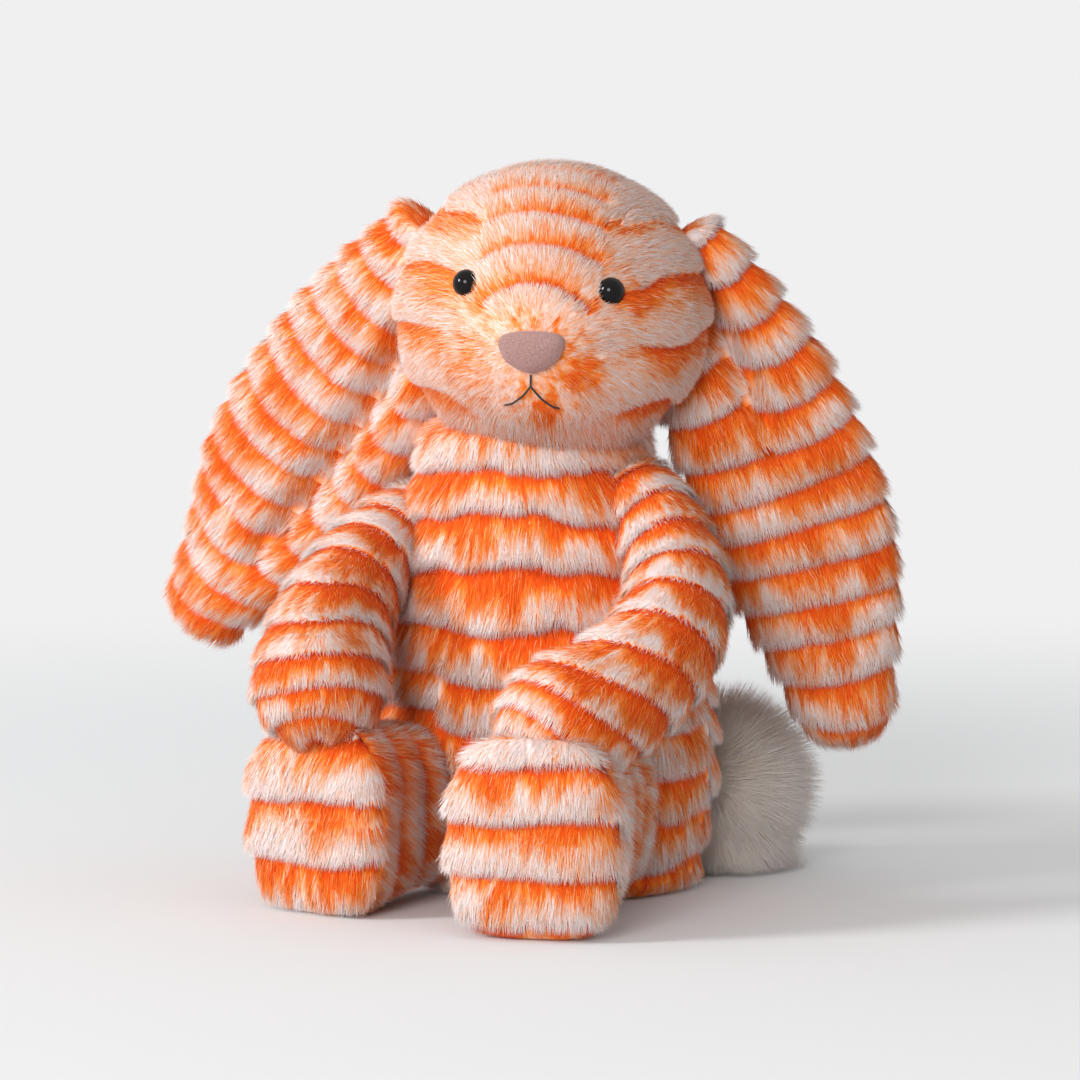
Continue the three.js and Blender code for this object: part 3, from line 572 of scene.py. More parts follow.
def leg_form(side):
    """A stubby straight tube that swells into an upright foot with a flat sole."""
    hip = pivot(f"{side}_leg_spread")
    turn = SIDES[side] * np.radians(TOE_OUT[side])
    forward = np.array([np.sin(turn), -np.cos(turn), 0])
    reach = LEG_ROOT + LEG_REACH[side] - SOLE_ROUND
    spine = hip + forward * (np.linspace(0, reach, 40) - LEG_ROOT)[:, None]
    sizes = [(0, *LEG_SIZE), (1 - FOOT_DEPTH / reach, *LEG_SIZE), (1, *FOOT_SIZE)]
    return limb_form(spine, UP, sizes, SOLE_ROUND, FOOT_SQUARENESS, SOLE_FLATNESS)


def tail_form():
    """A ball, in rings about the line from the body to its outer end."""
    outward = unit(pivot("tail_wag") * np.array([1, 1, 0]))
    centre = pivot("tail_wag") + outward * (TAIL_RADIUS - TAIL_SINK)
    aside = np.cross(UP, outward)

    def surface(along, around):
        theta = np.pi * (1 - along)
        phi = TURN * around
        ring = np.cos(phi)[..., None] * aside + np.sin(phi)[..., None] * UP
        return centre + TAIL_RADIUS * (np.cos(theta)[..., None] * outward + np.sin(theta)[..., None] * ring)

    return Form(surface, np.pi * TAIL_RADIUS, TURN * TAIL_RADIUS)


class Coat:
    """How the pile lies on a form: its tiers, the way it is brushed and how pale it is.

    Tiers are counted along the nap. Within a tier the share runs from 0 at its groove to 1 at its lip.
    Pitch is the step between tiers, depth their height, and inset how far the cloth lies inside the form to
    leave room for the pile. Length, width and lean, in degrees from the normal, are those of a strand. Orange
    is the share of a tier where the colour turns from orange to pale.
    """

    pitch = 13.5 * MM
    crowding = 0.0
    stray = 0.22
    stray_cell = 26 * MM
    depth = 3.6 * MM
    inset = 3.8 * MM
    length = 6 * MM
    width = 0.22 * MM
    lean = 67
    density = 1.0
    loose = 1.0
    ragged = 0.2
    orange = 0.62
    patchy = 0.3
    patch_cell = 11 * MM
    ramp = "striped"

    RISE = (-0.35, 0.8)
    DROP = (0.92, 1)
    LEVEL = 0.6
    PRESSED_SLOPE = (0.3, 0.8)
    PRESSED_HEIGHT = (4 * MM, 14 * MM)
    STREAKS = ((1.3 * MM, 9 * MM), (3.1 * MM, 12 * MM))
    STREAK_LAYER = 0.37
    STREAKY = 0.27
    PALE_SPREAD = 0.42

    def __init__(self, form, seed):
        self.form = form
        self.seed = seed

    def wander(self, along, points):
        """How far the lines of the tiers stray, as a share of a tier."""
        return self.stray * soft_noise(points, self.stray_cell, self.seed)

    def tiers(self, along, around, points):
        """Tiers at even steps along the form, a little wavy, and closer towards its end where crowded."""
        even = along * self.form.length / self.pitch
        return even + self.crowding * along ** 2 + self.wander(along, points)

    def strength(self, along, around, points):
        """How deep the tiers are, from 0 to 1."""
        return np.ones(along.shape)

    def nap(self, along, around, points, normals, ahead):
        """The way the pile is brushed: along the form."""
        return ahead

    def paleness(self, along, around, points, tier):
        """From orange at each groove to pale at the lip, in irregular patches and streaks along the nap."""
        patch = soft_noise(points, self.patch_cell, self.seed + 1)
        layer = np.full(along.shape, self.STREAK_LAYER)
        streak = sum(
            soft_noise(np.stack([
                around * self.form.girth / wide, along * self.form.length / long, layer,
            ], axis=-1), 1.0, self.seed + 2)
            for wide, long in self.STREAKS
        )
        at = tier + self.patchy * patch + self.STREAKY * streak
        return eased(self.orange - self.PALE_SPREAD, self.orange + self.PALE_SPREAD, at)

    def trim(self, points):
        """How long the pile is left, as a share of its length."""
        return np.ones(points.shape[:-1])

    def lift(self, tier):
        """A shingle: it rises from its groove, and drops at its lip."""
        return eased(*self.RISE, tier) * (1 - eased(*self.DROP, tier))

    def skin(self, along, around):
        """The cloth under the pile, with the tiers in it, which the ground presses flat."""
        points, normals, ahead = self.form.frame_at(along, around)
        count = self.tiers(along, around, points)
        tier = count - np.floor(count)
        strength = self.strength(along, around, points)
        raised = self.depth * (self.lift(tier) * strength + self.LEVEL * (1 - strength)) - self.inset
        pressed = eased(*self.PRESSED_SLOPE, -normals[..., 2])
        pressed = pressed * (1 - eased(*self.PRESSED_HEIGHT, points[..., 2]))
        placed = points + normals * (raised * (1 - pressed))[..., None]
        return placed, normals, ahead, tier


class BodyCoat(Coat):
    """The body's pile: level tiers with their lips at set heights, which don't meet at a short front seam."""

    stray = 0.19
    stray_cell = 24 * MM
    depth = 4.4 * MM
    inset = 4.2 * MM
    density = 0.82
    orange = 0.61

    LIPS = np.array([161, 138, 123.5, 107.5, 89, 71.5, 57, 42, 27, 12, -3]) * MM
    FINE_STRAY = 0.1
    FINE_CELL = 8 * MM
    SEAM_TURN = 0.689
    SEAM_TOP = 76 * MM
    SEAM_SHIFT = 0.35

    def wander(self, along, points):
        fine = self.FINE_STRAY * soft_noise(points, self.FINE_CELL, self.seed + 7)
        return super().wander(along, points) + fine

    def tiers(self, along, around, points):
        count = np.interp(-points[..., 2], -self.LIPS, np.arange(len(self.LIPS)))
        beyond = (around % 1 < self.SEAM_TURN) & (points[..., 2] < self.SEAM_TOP)
        return count + self.wander(along, points) + self.SEAM_SHIFT * beyond


class HeadCoat(Coat):
    """The head's pile: arched tiers up the forehead, slanting tiers on the sides, none on the muzzle.

    Angles are in degrees from the muzzle, and heights and depths are in the head's own axes.
    """

    stray = 0.12
    stray_cell = 22 * MM
    depth = 1.8 * MM
    inset = 2.2 * MM
    length = 4.2 * MM
    lean = 68
    density = 1.3
    orange = 0.36
    patchy = 0.24
    patch_cell = 12 * MM

    # Tiers: the panels stray alike at the back, where they meet
    BACK_SEED = 31
    BACK = (90, 120)
    LIP_ANGLE = 22
    ARCH_STEP = 15
    FIRST_ARCH = 2
    ARCH_FROM = (12, 24)
    ARCH_HALF = 19 * MM
    ARCH_END = 6 * MM
    ARCH_FADE = (-10 * MM, ARCH_END)
    SLANT = 0.24
    TOP_GROOVE = 3.2 * MM
    SIDE_PITCH = 19.7 * MM
    SIDE_STRAY = 1.5
    FIRST_SIDE = 6
    SIDE_FROM = (26, 48)
    CROWN = 4.3

    # Nap: it turns down on the sides and at the back, and is combed to one side on the crown
    DOWN_SIDE, DOWN_SIDE_FROM = 0.6, (20, 45)
    DOWN_BACK, DOWN_BACK_FROM = 0.4, (90, 130)
    COMB = 0.85
    COMB_FROM = (-18 * MM, -4 * MM)
    COMB_TO = (10 * MM, 24 * MM)
    COMB_ABOVE = (20 * MM, 30 * MM)

    # Colour: paler on the crown and under the chin, darker behind the eyes and in the patches, which are
    # rows of (across, up, radius, depth), the first three in millimetres
    PLAIN = 0.56
    COARSE_STREAK, FINE_STREAK = 2.2 * MM, 1.1 * MM
    FINE_SHARE = 0.6
    STREAKY = 0.3
    STREAKY_LESS = 0.1
    PALE_CROWN, PALE_CROWN_FROM = 0.3, (14 * MM, 22 * MM)
    PALE_CHIN, PALE_CHIN_TO = 0.5, (-37 * MM, -29 * MM)
    EYE_SHADE = 0.6
    EYE_SHADE_RADIUS = 7 * MM
    EYE_SHADE_ASIDE, EYE_SHADE_BACK = 6 * MM, 3 * MM
    PATCHES = (
        (14.5, -18.5, 7.5, 0.5), (4, -32, 6.5, 0.35), (-22, -17, 8, 0.3), (-5, -2, 9, 0.2),
        (-31, 27, 10, 0.7),
    )
    LEAST_PALE = 0.1
    # Painted light: the head's least paleness is higher towards its right side, which the lamp at the left
    # lights
    LIT_PALE, LIT_SIDE = 0.2, (-4 * MM, 14 * MM)
    MOST_PALE = 0.78
    PALE_SPREAD = 0.3

    # Trim, as for trimmed: shorter round the eyes, the mouth and the nose, and longer under the chin
    EYE_TRIM = (0.8, 0.2, 4, 9)
    MOUTH_TRIM = (0.45, 0.55, 2, 8)
    NOSE_TRIM = (0.5, 0.5, 10, 24)
    CHIN_TRIM = (1.9, -0.9, -38, -28)

    def __init__(self, form, seed):
        super().__init__(form, seed)
        self.eyes = [face_frame(mirror * EYE_ACROSS, EYE_RISE)[0] for mirror in SIDES.values()]
        mouth = frame["nodes"]["mouth_thread"].data.vertices
        flat = np.empty(3 * len(mouth))
        mouth.foreach_get("co", flat)
        self.mouth = flat.reshape(-1, 3)

    def local(self, points):
        """Points in the head's own axes."""
        return (points - HEAD_CENTRE) @ HEAD_MATRIX

    def arched(self, points):
        """Whether points lie in the strip over the forehead, between the eyes."""
        local = self.local(points)
        on_top = (local[..., 2] > 0) & (local[..., 1] < self.ARCH_END)
        return (np.abs(local[..., 0]) < self.ARCH_HALF) & on_top

    def wander(self, along, points):
        back = eased(*self.BACK, 180 * along)
        own, shared = (soft_noise(points, self.stray_cell, seed) for seed in (self.seed, self.BACK_SEED))
        return self.stray * (own * (1 - back) + shared * back)

    def tiers(self, along, around, points):
        local = self.local(points)
        wander = self.wander(along, points)
        arch = (180 * along - self.LIP_ANGLE) / self.ARCH_STEP + self.FIRST_ARCH + wander
        slant = local[..., 2] - self.SLANT * np.abs(local[..., 0])
        side = (self.TOP_GROOVE - slant) / self.SIDE_PITCH + self.FIRST_SIDE + self.SIDE_STRAY * wander
        return np.where(self.arched(points), arch, np.maximum(side, self.CROWN))

    def strength(self, along, around, points):
        fading = 1 - eased(*self.ARCH_FADE, self.local(points)[..., 1])
        arch = eased(*self.ARCH_FROM, 180 * along) * fading
        return np.where(self.arched(points), arch, eased(*self.SIDE_FROM, 180 * along))

    def nap(self, along, around, points, normals, ahead):
        local = self.local(points)
        down = along_surface(-UP, normals)
        beside = eased(*self.DOWN_SIDE_FROM, 180 * along)[..., None]
        back = eased(*self.DOWN_BACK_FROM, 180 * along)[..., None]
        slanting = ahead * (1 - back) + down * (self.DOWN_SIDE * beside + self.DOWN_BACK * back)
        nap = np.where(self.arched(points)[..., None], ahead, unit(slanting))
        crown = eased(*self.COMB_FROM, local[..., 1]) * (1 - eased(*self.COMB_TO, local[..., 1]))
        crown = (self.COMB * crown * eased(*self.COMB_ABOVE, local[..., 2]))[..., None]
        return unit(nap * (1 - crown) + along_surface(LEFT, normals) * crown)

    def paleness(self, along, around, points, tier):
        local = self.local(points)
        patch = soft_noise(points, self.patch_cell, self.seed + 1)
        streak = soft_noise(points, self.COARSE_STREAK, self.seed + 2)
        streak = streak + self.FINE_SHARE * soft_noise(points, self.FINE_STREAK, self.seed + 6)
        strength = self.strength(along, around, points)
        level = tier * strength + self.PLAIN * (1 - strength)
        level = level + self.patchy * patch + (self.STREAKY - self.STREAKY_LESS * strength) * streak
        crown = self.PALE_CROWN * eased(*self.PALE_CROWN_FROM, local[..., 2])
        level = level + crown * ~self.arched(points)
        level = level + self.PALE_CHIN * (1 - eased(*self.PALE_CHIN_TO, local[..., 2]))
        for mirror, eye in zip(SIDES.values(), self.eyes):
            behind = np.array([mirror * self.EYE_SHADE_ASIDE, self.EYE_SHADE_BACK, 0])
            reach = distance(points, eye + HEAD_MATRIX @ behind) / self.EYE_SHADE_RADIUS
            level = level - self.EYE_SHADE * np.exp(-reach ** 2)
        for x, z, radius, depth in self.PATCHES:
            reach = np.hypot(local[..., 0] - x * MM, local[..., 2] - z * MM) / (radius * MM)
            level = level - depth * np.exp(-reach ** 2) * (local[..., 1] < 0)
        # Painted light: paler on the lit side of the head
        least = self.LEAST_PALE + self.LIT_PALE * eased(*self.LIT_SIDE, -local[..., 0])
        share = eased(self.orange - self.PALE_SPREAD, self.orange + self.PALE_SPREAD, level)
        return least + (self.MOST_PALE - least) * share

    def trim(self, points):
        left = np.ones(points.shape[:-1])
        for eye in self.eyes:
            left = left * trimmed(*self.EYE_TRIM, distance(points, eye))
        near = np.min(distance(points[:, None], self.mouth[None, ::3]), axis=1)
        left = left * trimmed(*self.MOUTH_TRIM, near)
        left = left * trimmed(*self.NOSE_TRIM, distance(points, face_frame(0, -NOSE_DROP)[0]))
        return left * trimmed(*self.CHIN_TRIM, self.local(points)[:, 2])


class EarCoat(Coat):
    """The ears' pile: scalloped tiers towards the tip, half a tier apart on the two sides of the crease."""

    pitch = 13.2 * MM
    inset = 3.4 * MM
    orange = 0.6

    SCALLOP = 0.3
    END_SCALLOP = 0.25
    APART = 0.5
    START = 0.4
    ROOT_TRIM = (0.45, 0.55, 8, 30)

    def __init__(self, form, seed, side):
        super().__init__(form, seed)
        self.side = side

    def trim(self, points):
        """Shorter pile where the ear is sewn to the head."""
        return trimmed(*self.ROOT_TRIM, distance(points, pivot(f"{self.side}_ear_lift")))

    def tiers(self, along, around, points):
        place = self.form.outer * np.cos(TURN * around)
        crease = EAR_CREASE_AT[self.side]
        within = np.where(place > crease, (place - crease) / (1 - crease), (crease - place) / (1 + crease))
        fade = crease_fade(self.side, along)
        scallop = self.SCALLOP * (2 * within - 1) ** 2 * fade + self.END_SCALLOP * place ** 2 * (1 - fade)
        apart = self.APART * fade * (place < crease)
        return super().tiers(along, around, points) + scallop + apart + self.START


class ArmCoat(Coat):
    """The arms' pile: tiers round the arm, which turn towards level on the paw, and lie towards its tip."""

    pitch = 14 * MM
    crowding = 0.4
    depth = 2 * MM
    inset = 2.2 * MM
    length = 5.2 * MM
    orange = 0.66
    patchy = 0.42

    LEVEL_SHARE, LEVEL_FROM = 0.9, (0.4, 0.8)
    AHEAD_LOSS, AHEAD_TO = 0.8, (0.75, 0.95)
    DOWN_SHARE, DOWN_FROM = 0.9, (0.4, 0.85)

    def tiers(self, along, around, points):
        centre = self.form.surface(along, around + 0.5)
        level = (centre[..., 2] - points[..., 2]) / 2
        turned = self.LEVEL_SHARE * eased(*self.LEVEL_FROM, along) * level / self.pitch
        return super().tiers(along, around, points) + turned

    def nap(self, along, around, points, normals, ahead):
        down = along_surface(-UP, normals)
        ahead = ahead * (1 - self.AHEAD_LOSS * eased(*self.AHEAD_TO, along)[..., None])
        return unit(ahead + self.DOWN_SHARE * down * eased(*self.DOWN_FROM, along)[..., None])


class LegCoat(Coat):
    """The legs' pile: brushed back from the sole and down."""

    pitch = 15 * MM
    stray = 0.3
    stray_cell = 24 * MM

    START = 0.35
    BACK_SHARE = 0.7
    DOWN_SHARE = 0.8

    def tiers(self, along, around, points):
        return (1 - along) * self.form.length / self.pitch + self.wander(along, points) + self.START

    def nap(self, along, around, points, normals, ahead):
        down = along_surface(-UP, normals)
        level = 1 - np.abs(normals[..., 2:3])
        return unit(-self.BACK_SHARE * ahead + self.DOWN_SHARE * down * level)


class SoleCoat(Coat):
    """The soles' pile: level tiers, brushed down."""

    stray = 0.12
    stray_cell = 22 * MM
    depth = 3.2 * MM
    inset = 3.2 * MM
    orange = 0.47

    FIRST = 5

    def __init__(self, form, seed, side):
        super().__init__(form, seed)
        self.pitch = SOLE_PITCH[side]

    def tiers(self, along, around, points):
        return (SOLE_GROOVE - points[..., 2]) / self.pitch + self.wander(along, points) + self.FIRST

    def nap(self, along, around, points, normals, ahead):
        return along_surface(NEARLY_DOWN, normals)


class PlainCoat(Coat):
    """A pile without tiers, its paleness in soft patches."""

    pale = 0.6

    def strength(self, along, around, points):
        return np.zeros(along.shape)

    def paleness(self, along, around, points, tier):
        return np.clip(self.pale + self.patchy * soft_noise(points, self.patch_cell, self.seed), 0, 1)


class TailCoat(PlainCoat):
    """The tail's pile: long, fine and loose, brushed away from the body."""

    inset = 10 * MM
    length = 13.5 * MM
    lean = 24
    density = 2.4
    loose = 2.0
    ragged = 0.45
    pale = 0.85
    patchy = 0.2
    patch_cell = 9 * MM
    ramp = "cream"

    DOWN_SHARE = 0.35

    def nap(self, along, around, points, normals, ahead):
        return unit(ahead + self.DOWN_SHARE * along_surface(NEARLY_DOWN, normals))


class BaseCoat(PlainCoat):
    """The base panel's pile: short and pressed flat by the ground."""

    depth = 0.5 * MM
    inset = -1.5 * MM
    length = 4 * MM
    lean = 80
    patchy = 0.4
    patch_cell = 6 * MM


class MeshParts:
    """Gathers points, faces and map places of several surfaces, and makes one mesh of them."""

    def __init__(self):
        self.points = []
        self.loops = []
        self.sizes = []
        self.places = []
        self.normals = []
        self.count = 0

    def add(self, points, faces, places, normals=None):
        """Adds points (n, 3), faces (m, 3 or 4), the map places of the faces' corners (m, 3 or 4, 2) and,
        where light should fall as on another surface, the normals of the points (n, 3)."""
        self.points.append(points)
        if normals is not None:
            self.normals.append(normals)
        self.loops.append((faces + self.count).ravel())
        self.sizes.append(np.full(len(faces), faces.shape[1]))
        self.places.append(places.reshape(-1, 2))
        self.count += len(points)

    def make(self, name):
        """One mesh object at the origin, smooth shaded, with its map."""
        points = np.concatenate(self.points)
        loops = np.concatenate(self.loops)
        sizes = np.concatenate(self.sizes)
        mesh = bpy.data.meshes.new(name)
        mesh.vertices.add(len(points))
        mesh.vertices.foreach_set("co", points.astype(np.float32).ravel())
        mesh.loops.add(len(loops))
        mesh.loops.foreach_set("vertex_index", loops.astype(np.int32))
        mesh.polygons.add(len(sizes))
        starts = running_sum(sizes)[:-1]
        mesh.polygons.foreach_set("loop_start", starts.astype(np.int32))
        mesh.polygons.foreach_set("use_smooth", np.ones(len(sizes), bool))
        layer = mesh.uv_layers.new(name=BAKE_MAP)
        layer.uv.foreach_set("vector", np.concatenate(self.places).astype(np.float32).ravel())
        mesh.update(calc_edges=True)
        mesh.validate()
        if self.normals:
            mesh.normals_split_custom_set_from_vertices(np.concatenate(self.normals).tolist())
        piece = bpy.data.objects.new(name, mesh)
        bpy.context.scene.collection.objects.link(piece)
        return piece


def grid_faces(rows, columns, wrap):
    """Four-cornered faces between neighbours in a grid of points, closed round where it wraps."""
    row = np.arange(rows - 1)[:, None]
    column = np.arange(columns if wrap else columns - 1)[None, :]
    beside = (column + 1) % columns
    corners = [
        row * columns + column, (row + 1) * columns + column,
        (row + 1) * columns + beside, row * columns + beside,
    ]
    faces = [np.broadcast_to(corner, (rows - 1, column.size)) for corner in corners]
    return np.stack(faces, axis=-1).reshape(-1, 4)


def grid_normals(points, wrap, facing):
    """Outward normals of a grid of points, from the steps to each point's neighbours."""
    around = np.roll(points, -1, axis=1) - np.roll(points, 1, axis=1) if wrap else np.gradient(points, axis=1)
    return unit(np.cross(np.gradient(points, axis=0), around)) * facing


def between_grid(grid, along, around, wrap):
    """Values of a grid at shares along and around it, in proportion between its points."""
    rows, columns = grid.shape[:2]
    row = along * (rows - 1)
    column = around * (columns if wrap else columns - 1)
    above = np.clip(row.astype(int), 0, rows - 2)
    before = np.clip(column.astype(int), 0, columns - (1 if wrap else 2))
    beside = (before + 1) % columns
    down, right = (row - above)[:, None], (column - before)[:, None]
    upper = grid[above, before] * (1 - right) + grid[above, beside] * right
    lower = grid[above + 1, before] * (1 - right) + grid[above + 1, beside] * right
    return upper * (1 - down) + lower * down


def add_shell(parts, outer, inner, normals, places, wrap, facing):
    """A sheet of cloth with thickness: a fine outer grid, an inner grid with every few of its rows, and the
    edges that join them. A sheet that goes all the way round ends in a point."""
    rows, columns = outer.shape[:2]
    size = rows * columns
    fine = np.arange(size).reshape(rows, columns)
    coarse = size + np.arange(inner.shape[0] * columns).reshape(-1, columns)
    inner_faces = grid_faces(len(coarse), columns, wrap)[:, ::-1] + size
    quads = [grid_faces(rows, columns, wrap), inner_faces]
    points = [outer.reshape(-1, 3), inner.reshape(-1, 3)]
    lit = [normals.reshape(-1, 3), -normals[::INNER_STEP].reshape(-1, 3)]
    flat = [places.reshape(-1, 2), places[::INNER_STEP].reshape(-1, 2)]
    if wrap:
        first, under = (np.append(grid[0], grid[0, 0]) for grid in (fine, coarse))
        quads.append(np.stack([first[:-1], first[1:], under[1:], under[:-1]], axis=1))
        pole = coarse[-1, -1] + 1
        last, beneath = fine[-1], coarse[-1]
        triangles = [
            np.stack([np.roll(last, -1), last, np.full(columns, pole)], axis=1),
            np.stack([beneath, np.roll(beneath, -1), np.full(columns, pole + 1)], axis=1),
        ]
        points.append([outer[-1].mean(axis=0), inner[-1].mean(axis=0)])
        lit.append(unit(np.stack([normals[-1].mean(axis=0), -normals[-1].mean(axis=0)])))
        flat.append(np.repeat(places[-1].mean(axis=0)[None], 2, axis=0))
    else:
        for edge, under in ((fine[0], coarse[0]), (fine[-1, ::-1], coarse[-1, ::-1])):
            quads.append(np.stack([edge[:-1], edge[1:], under[1:], under[:-1]], axis=1))
        step = np.arange(rows - 1)
        triangles = []
        for column, order in ((-1, [0, 1, 2]), (0, [1, 0, 2])):
            edge, under = fine[:, column], coarse[:, column]
            corners = np.stack([edge[:-1], edge[1:], under[step // INNER_STEP]], axis=1)
            closing = np.stack([under[:-1], under[1:], edge[INNER_STEP::INNER_STEP]], axis=1)
            triangles += [corners[:, order], closing[:, order][:, ::-1]]
    quads, triangles = np.concatenate(quads), np.concatenate(triangles)
    points, lit, flat = (np.concatenate(grids) for grids in (points, lit, flat))
    if facing < 0:
        quads, triangles = quads[:, ::-1], triangles[:, ::-1]
    parts.add(points, quads, flat[quads], lit)
    parts.add(np.empty((0, 3)), triangles - len(points), flat[triangles])


def even_places(areas, count, random):
    """Spreads places over a grid of cells in proportion to area: an even sequence is read through the
    running sums of the areas, first over the rows and then within a row."""
    steps = np.arange(count) + 0.5
    spread = 0.5 / np.sqrt(count)
    first = (steps * PLASTIC_STEPS[0] + random.uniform(-spread, spread, count)) % 1
    second = (steps * PLASTIC_STEPS[1] + random.uniform(-spread, spread, count)) % 1
    rows, columns = areas.shape
    by_row = running_sum(areas.sum(axis=1)) / areas.sum()
    row = np.clip(np.searchsorted(by_row, first, side="right") - 1, 0, rows - 1)
    row_share = (first - by_row[row]) / (by_row[row + 1] - by_row[row])
    within = np.concatenate([np.zeros((rows, 1)), np.cumsum(areas, axis=1)], axis=1)
    within = within / within[:, -1:]
    stacked = (within + np.arange(rows)[:, None]).ravel()
    found = np.searchsorted(stacked, row + second, side="right") - 1
    column = np.clip(found - row * (columns + 1), 0, columns - 1)
    left, right = within[row, column], within[row, column + 1]
    column_share = (second - left) / np.maximum(right - left, 1e-12)
    return (row + row_share) / rows, (column + column_share) / columns


def add_strands(parts, roots, normals, lit, nap, lengths, width, lean, tints, shade):
    """Tapered strands of three sides, from a small ring at the root to a point.

    Each leans from the normal towards the nap by its own angle, and is lit nearly as the cloth under it.
    """
    side = unit(np.cross(nap, normals))
    angle = np.radians(lean)[:, None]
    towards = unit(normals * np.cos(angle) + nap * np.sin(angle))
    above = np.cross(side, towards)
    half = (width / 2)[:, None]
    lengths = lengths[:, None]
    corners = [
        roots - side * half, roots + side * half,
        roots + above * half * STRAND_RIDGE, roots + towards * lengths,
    ]
    points = np.stack(corners, axis=1)
    points[..., 2] = np.maximum(points[..., 2], GROUND_GAP + 0.02 * points[..., 2])
    faces = 4 * np.arange(len(roots))[:, None, None] + STRAND_FACES
    tint = tints[:, [0, 0, 0, 1]]
    bright = shade[:, None] + STRAND_SHADES
    places = np.clip(np.stack([tint, bright], axis=-1), 0.005, 0.995)
    lit = np.stack([unit(lit + STRAND_LIT * (corner - roots) / lengths) for corner in corners], axis=1)
    parts.add(points.reshape(-1, 3), faces.reshape(-1, 3), places[:, STRAND_FACES], lit.reshape(-1, 3))


def add_cloth(parts, coat, along, around, wrap):
    """The cloth of a panel: a grid of points on the coat's skin and a coarser one under it.

    Gives back the skin, the tiers in it and the normals that it is lit by.
    """
    form = coat.form
    rows = max(1, round((along[1] - along[0]) * form.length / SKIN_ROWS / INNER_STEP))
    columns = max(LEAST_COLUMNS, round((around[1] - around[0]) * form.girth / SKIN_COLUMNS))
    turns = np.linspace(*around, columns + 1)[:columns if wrap else None]
    grid = np.meshgrid(np.linspace(*along, INNER_STEP * rows + 1), turns, indexing="ij")
    skin, normals, _, tier = coat.skin(*grid)
    skin[..., 2] = np.maximum(skin[..., 2], GROUND_GAP)
    # Painted shade: near each groove the cloth's tint is drawn towards deep orange, and its brightness rises
    # from groove to lip
    painted_groove_shade = (1 - eased(*SKIN_PAINTED_GROOVE_SHADE_TO, tier)) * coat.strength(*grid, skin)
    tint = SKIN_TINT + SKIN_TINT_MORE * coat.paleness(*grid, skin, tier) - SKIN_PAINTED_GROOVE_SHADE * painted_groove_shade
    places = np.stack([np.clip(tint, 0.01, 0.99), SKIN_SHADE + SKIN_PAINTED_SHADE_LIFT * tier], axis=-1)
    inner = (skin - normals * CLOTH_THICKNESS)[::INNER_STEP]
    inner[..., 2] = np.maximum(inner[..., 2], 2 * GROUND_GAP)
    lit = unit(normals + grid_normals(skin, wrap, form.facing))
    add_shell(parts, skin, inner, lit, places, wrap, form.facing)
    return skin, tier, lit


def strand_places(coat, skin, tier, wrap, random):
    """Shares along and around a panel for its strands, which stand closer towards the lip of each tier."""
    closed = np.concatenate([skin, skin[:, :1]], axis=1) if wrap else skin
    edge_around = np.diff(closed, axis=1)
    columns = edge_around.shape[1]
    areas = np.linalg.norm(np.diff(skin, axis=0)[:, :columns], axis=-1)
    areas = areas * np.linalg.norm(edge_around[:-1], axis=-1)
    count = int(areas.sum() * bpy.context.scene.plush_pile.strands_per_area * coat.density)
    areas = areas * (CROWD + CROWD_MORE * eased(*CROWD_FROM, tier[:-1, :columns]))
    return even_places(areas, count, random)


def add_pile(parts, coat, at, turn, lit, random):
    """Strands on the cloth at shares along and around its form: shorter at the grooves and darker there with
    painted shade, shorter again at the lips, and each with its own length, width, lean and tint."""
    roots, normals, ahead, tier = coat.skin(at, turn)
    nap = coat.nap(at, turn, roots, normals, ahead)
    pale = coat.paleness(at, turn, roots, tier)
    strength = coat.strength(at, turn, roots)
    count = len(at)

    loose = np.stack([soft_noise(roots, LOOSE_CELL, coat.seed + step) for step in (3, 4, 5)], axis=-1)
    loose = coat.loose * (LOOSE_TUFT * loose + LOOSE_STRAND * random.normal(size=roots.shape))
    nap = along_surface(nap + loose, normals)
    grown = GROWN + GROWN_MORE * eased(*GROWN_FROM, tier) - GROWN_LESS * eased(*GROWN_LESS_FROM, tier)
    grown = grown * strength + GROWN_PLAIN * (1 - strength)
    lengths = coat.length * bpy.context.scene.plush_pile.length_factor * grown * coat.trim(roots)
    lengths = lengths * random.uniform(1 - coat.ragged, 1 + LONGER * coat.ragged, count)
    width = coat.width * random.uniform(*WIDTHS, count)
    lean = coat.lean + random.normal(scale=LEAN_SPREAD, size=count)
    flicker_and_groove_shade = random.normal(scale=FLICKER, size=count)
    # Painted shade: strands rooted near a groove are tinted darker
    flicker_and_groove_shade = flicker_and_groove_shade - STRAND_PAINTED_GROOVE_SHADE * (1 - eased(*STRAND_PAINTED_GROOVE_SHADE_TO, tier)) * strength
    pale = np.clip(pale + random.normal(scale=PALE_STRANDS, size=count), 0, 1)
    tints = np.stack([ROOT_TINT + ROOT_TINT_MORE * pale, TIP_TINT + TIP_TINT_MORE * pale], axis=1)
    tints = tints + flicker_and_groove_shade[:, None]
    shade = np.clip(SHADE + SHADE_SPREAD * random.normal(size=count), *SHADES)
    add_strands(parts, roots, normals, lit, nap, lengths, width, lean, tints, shade)


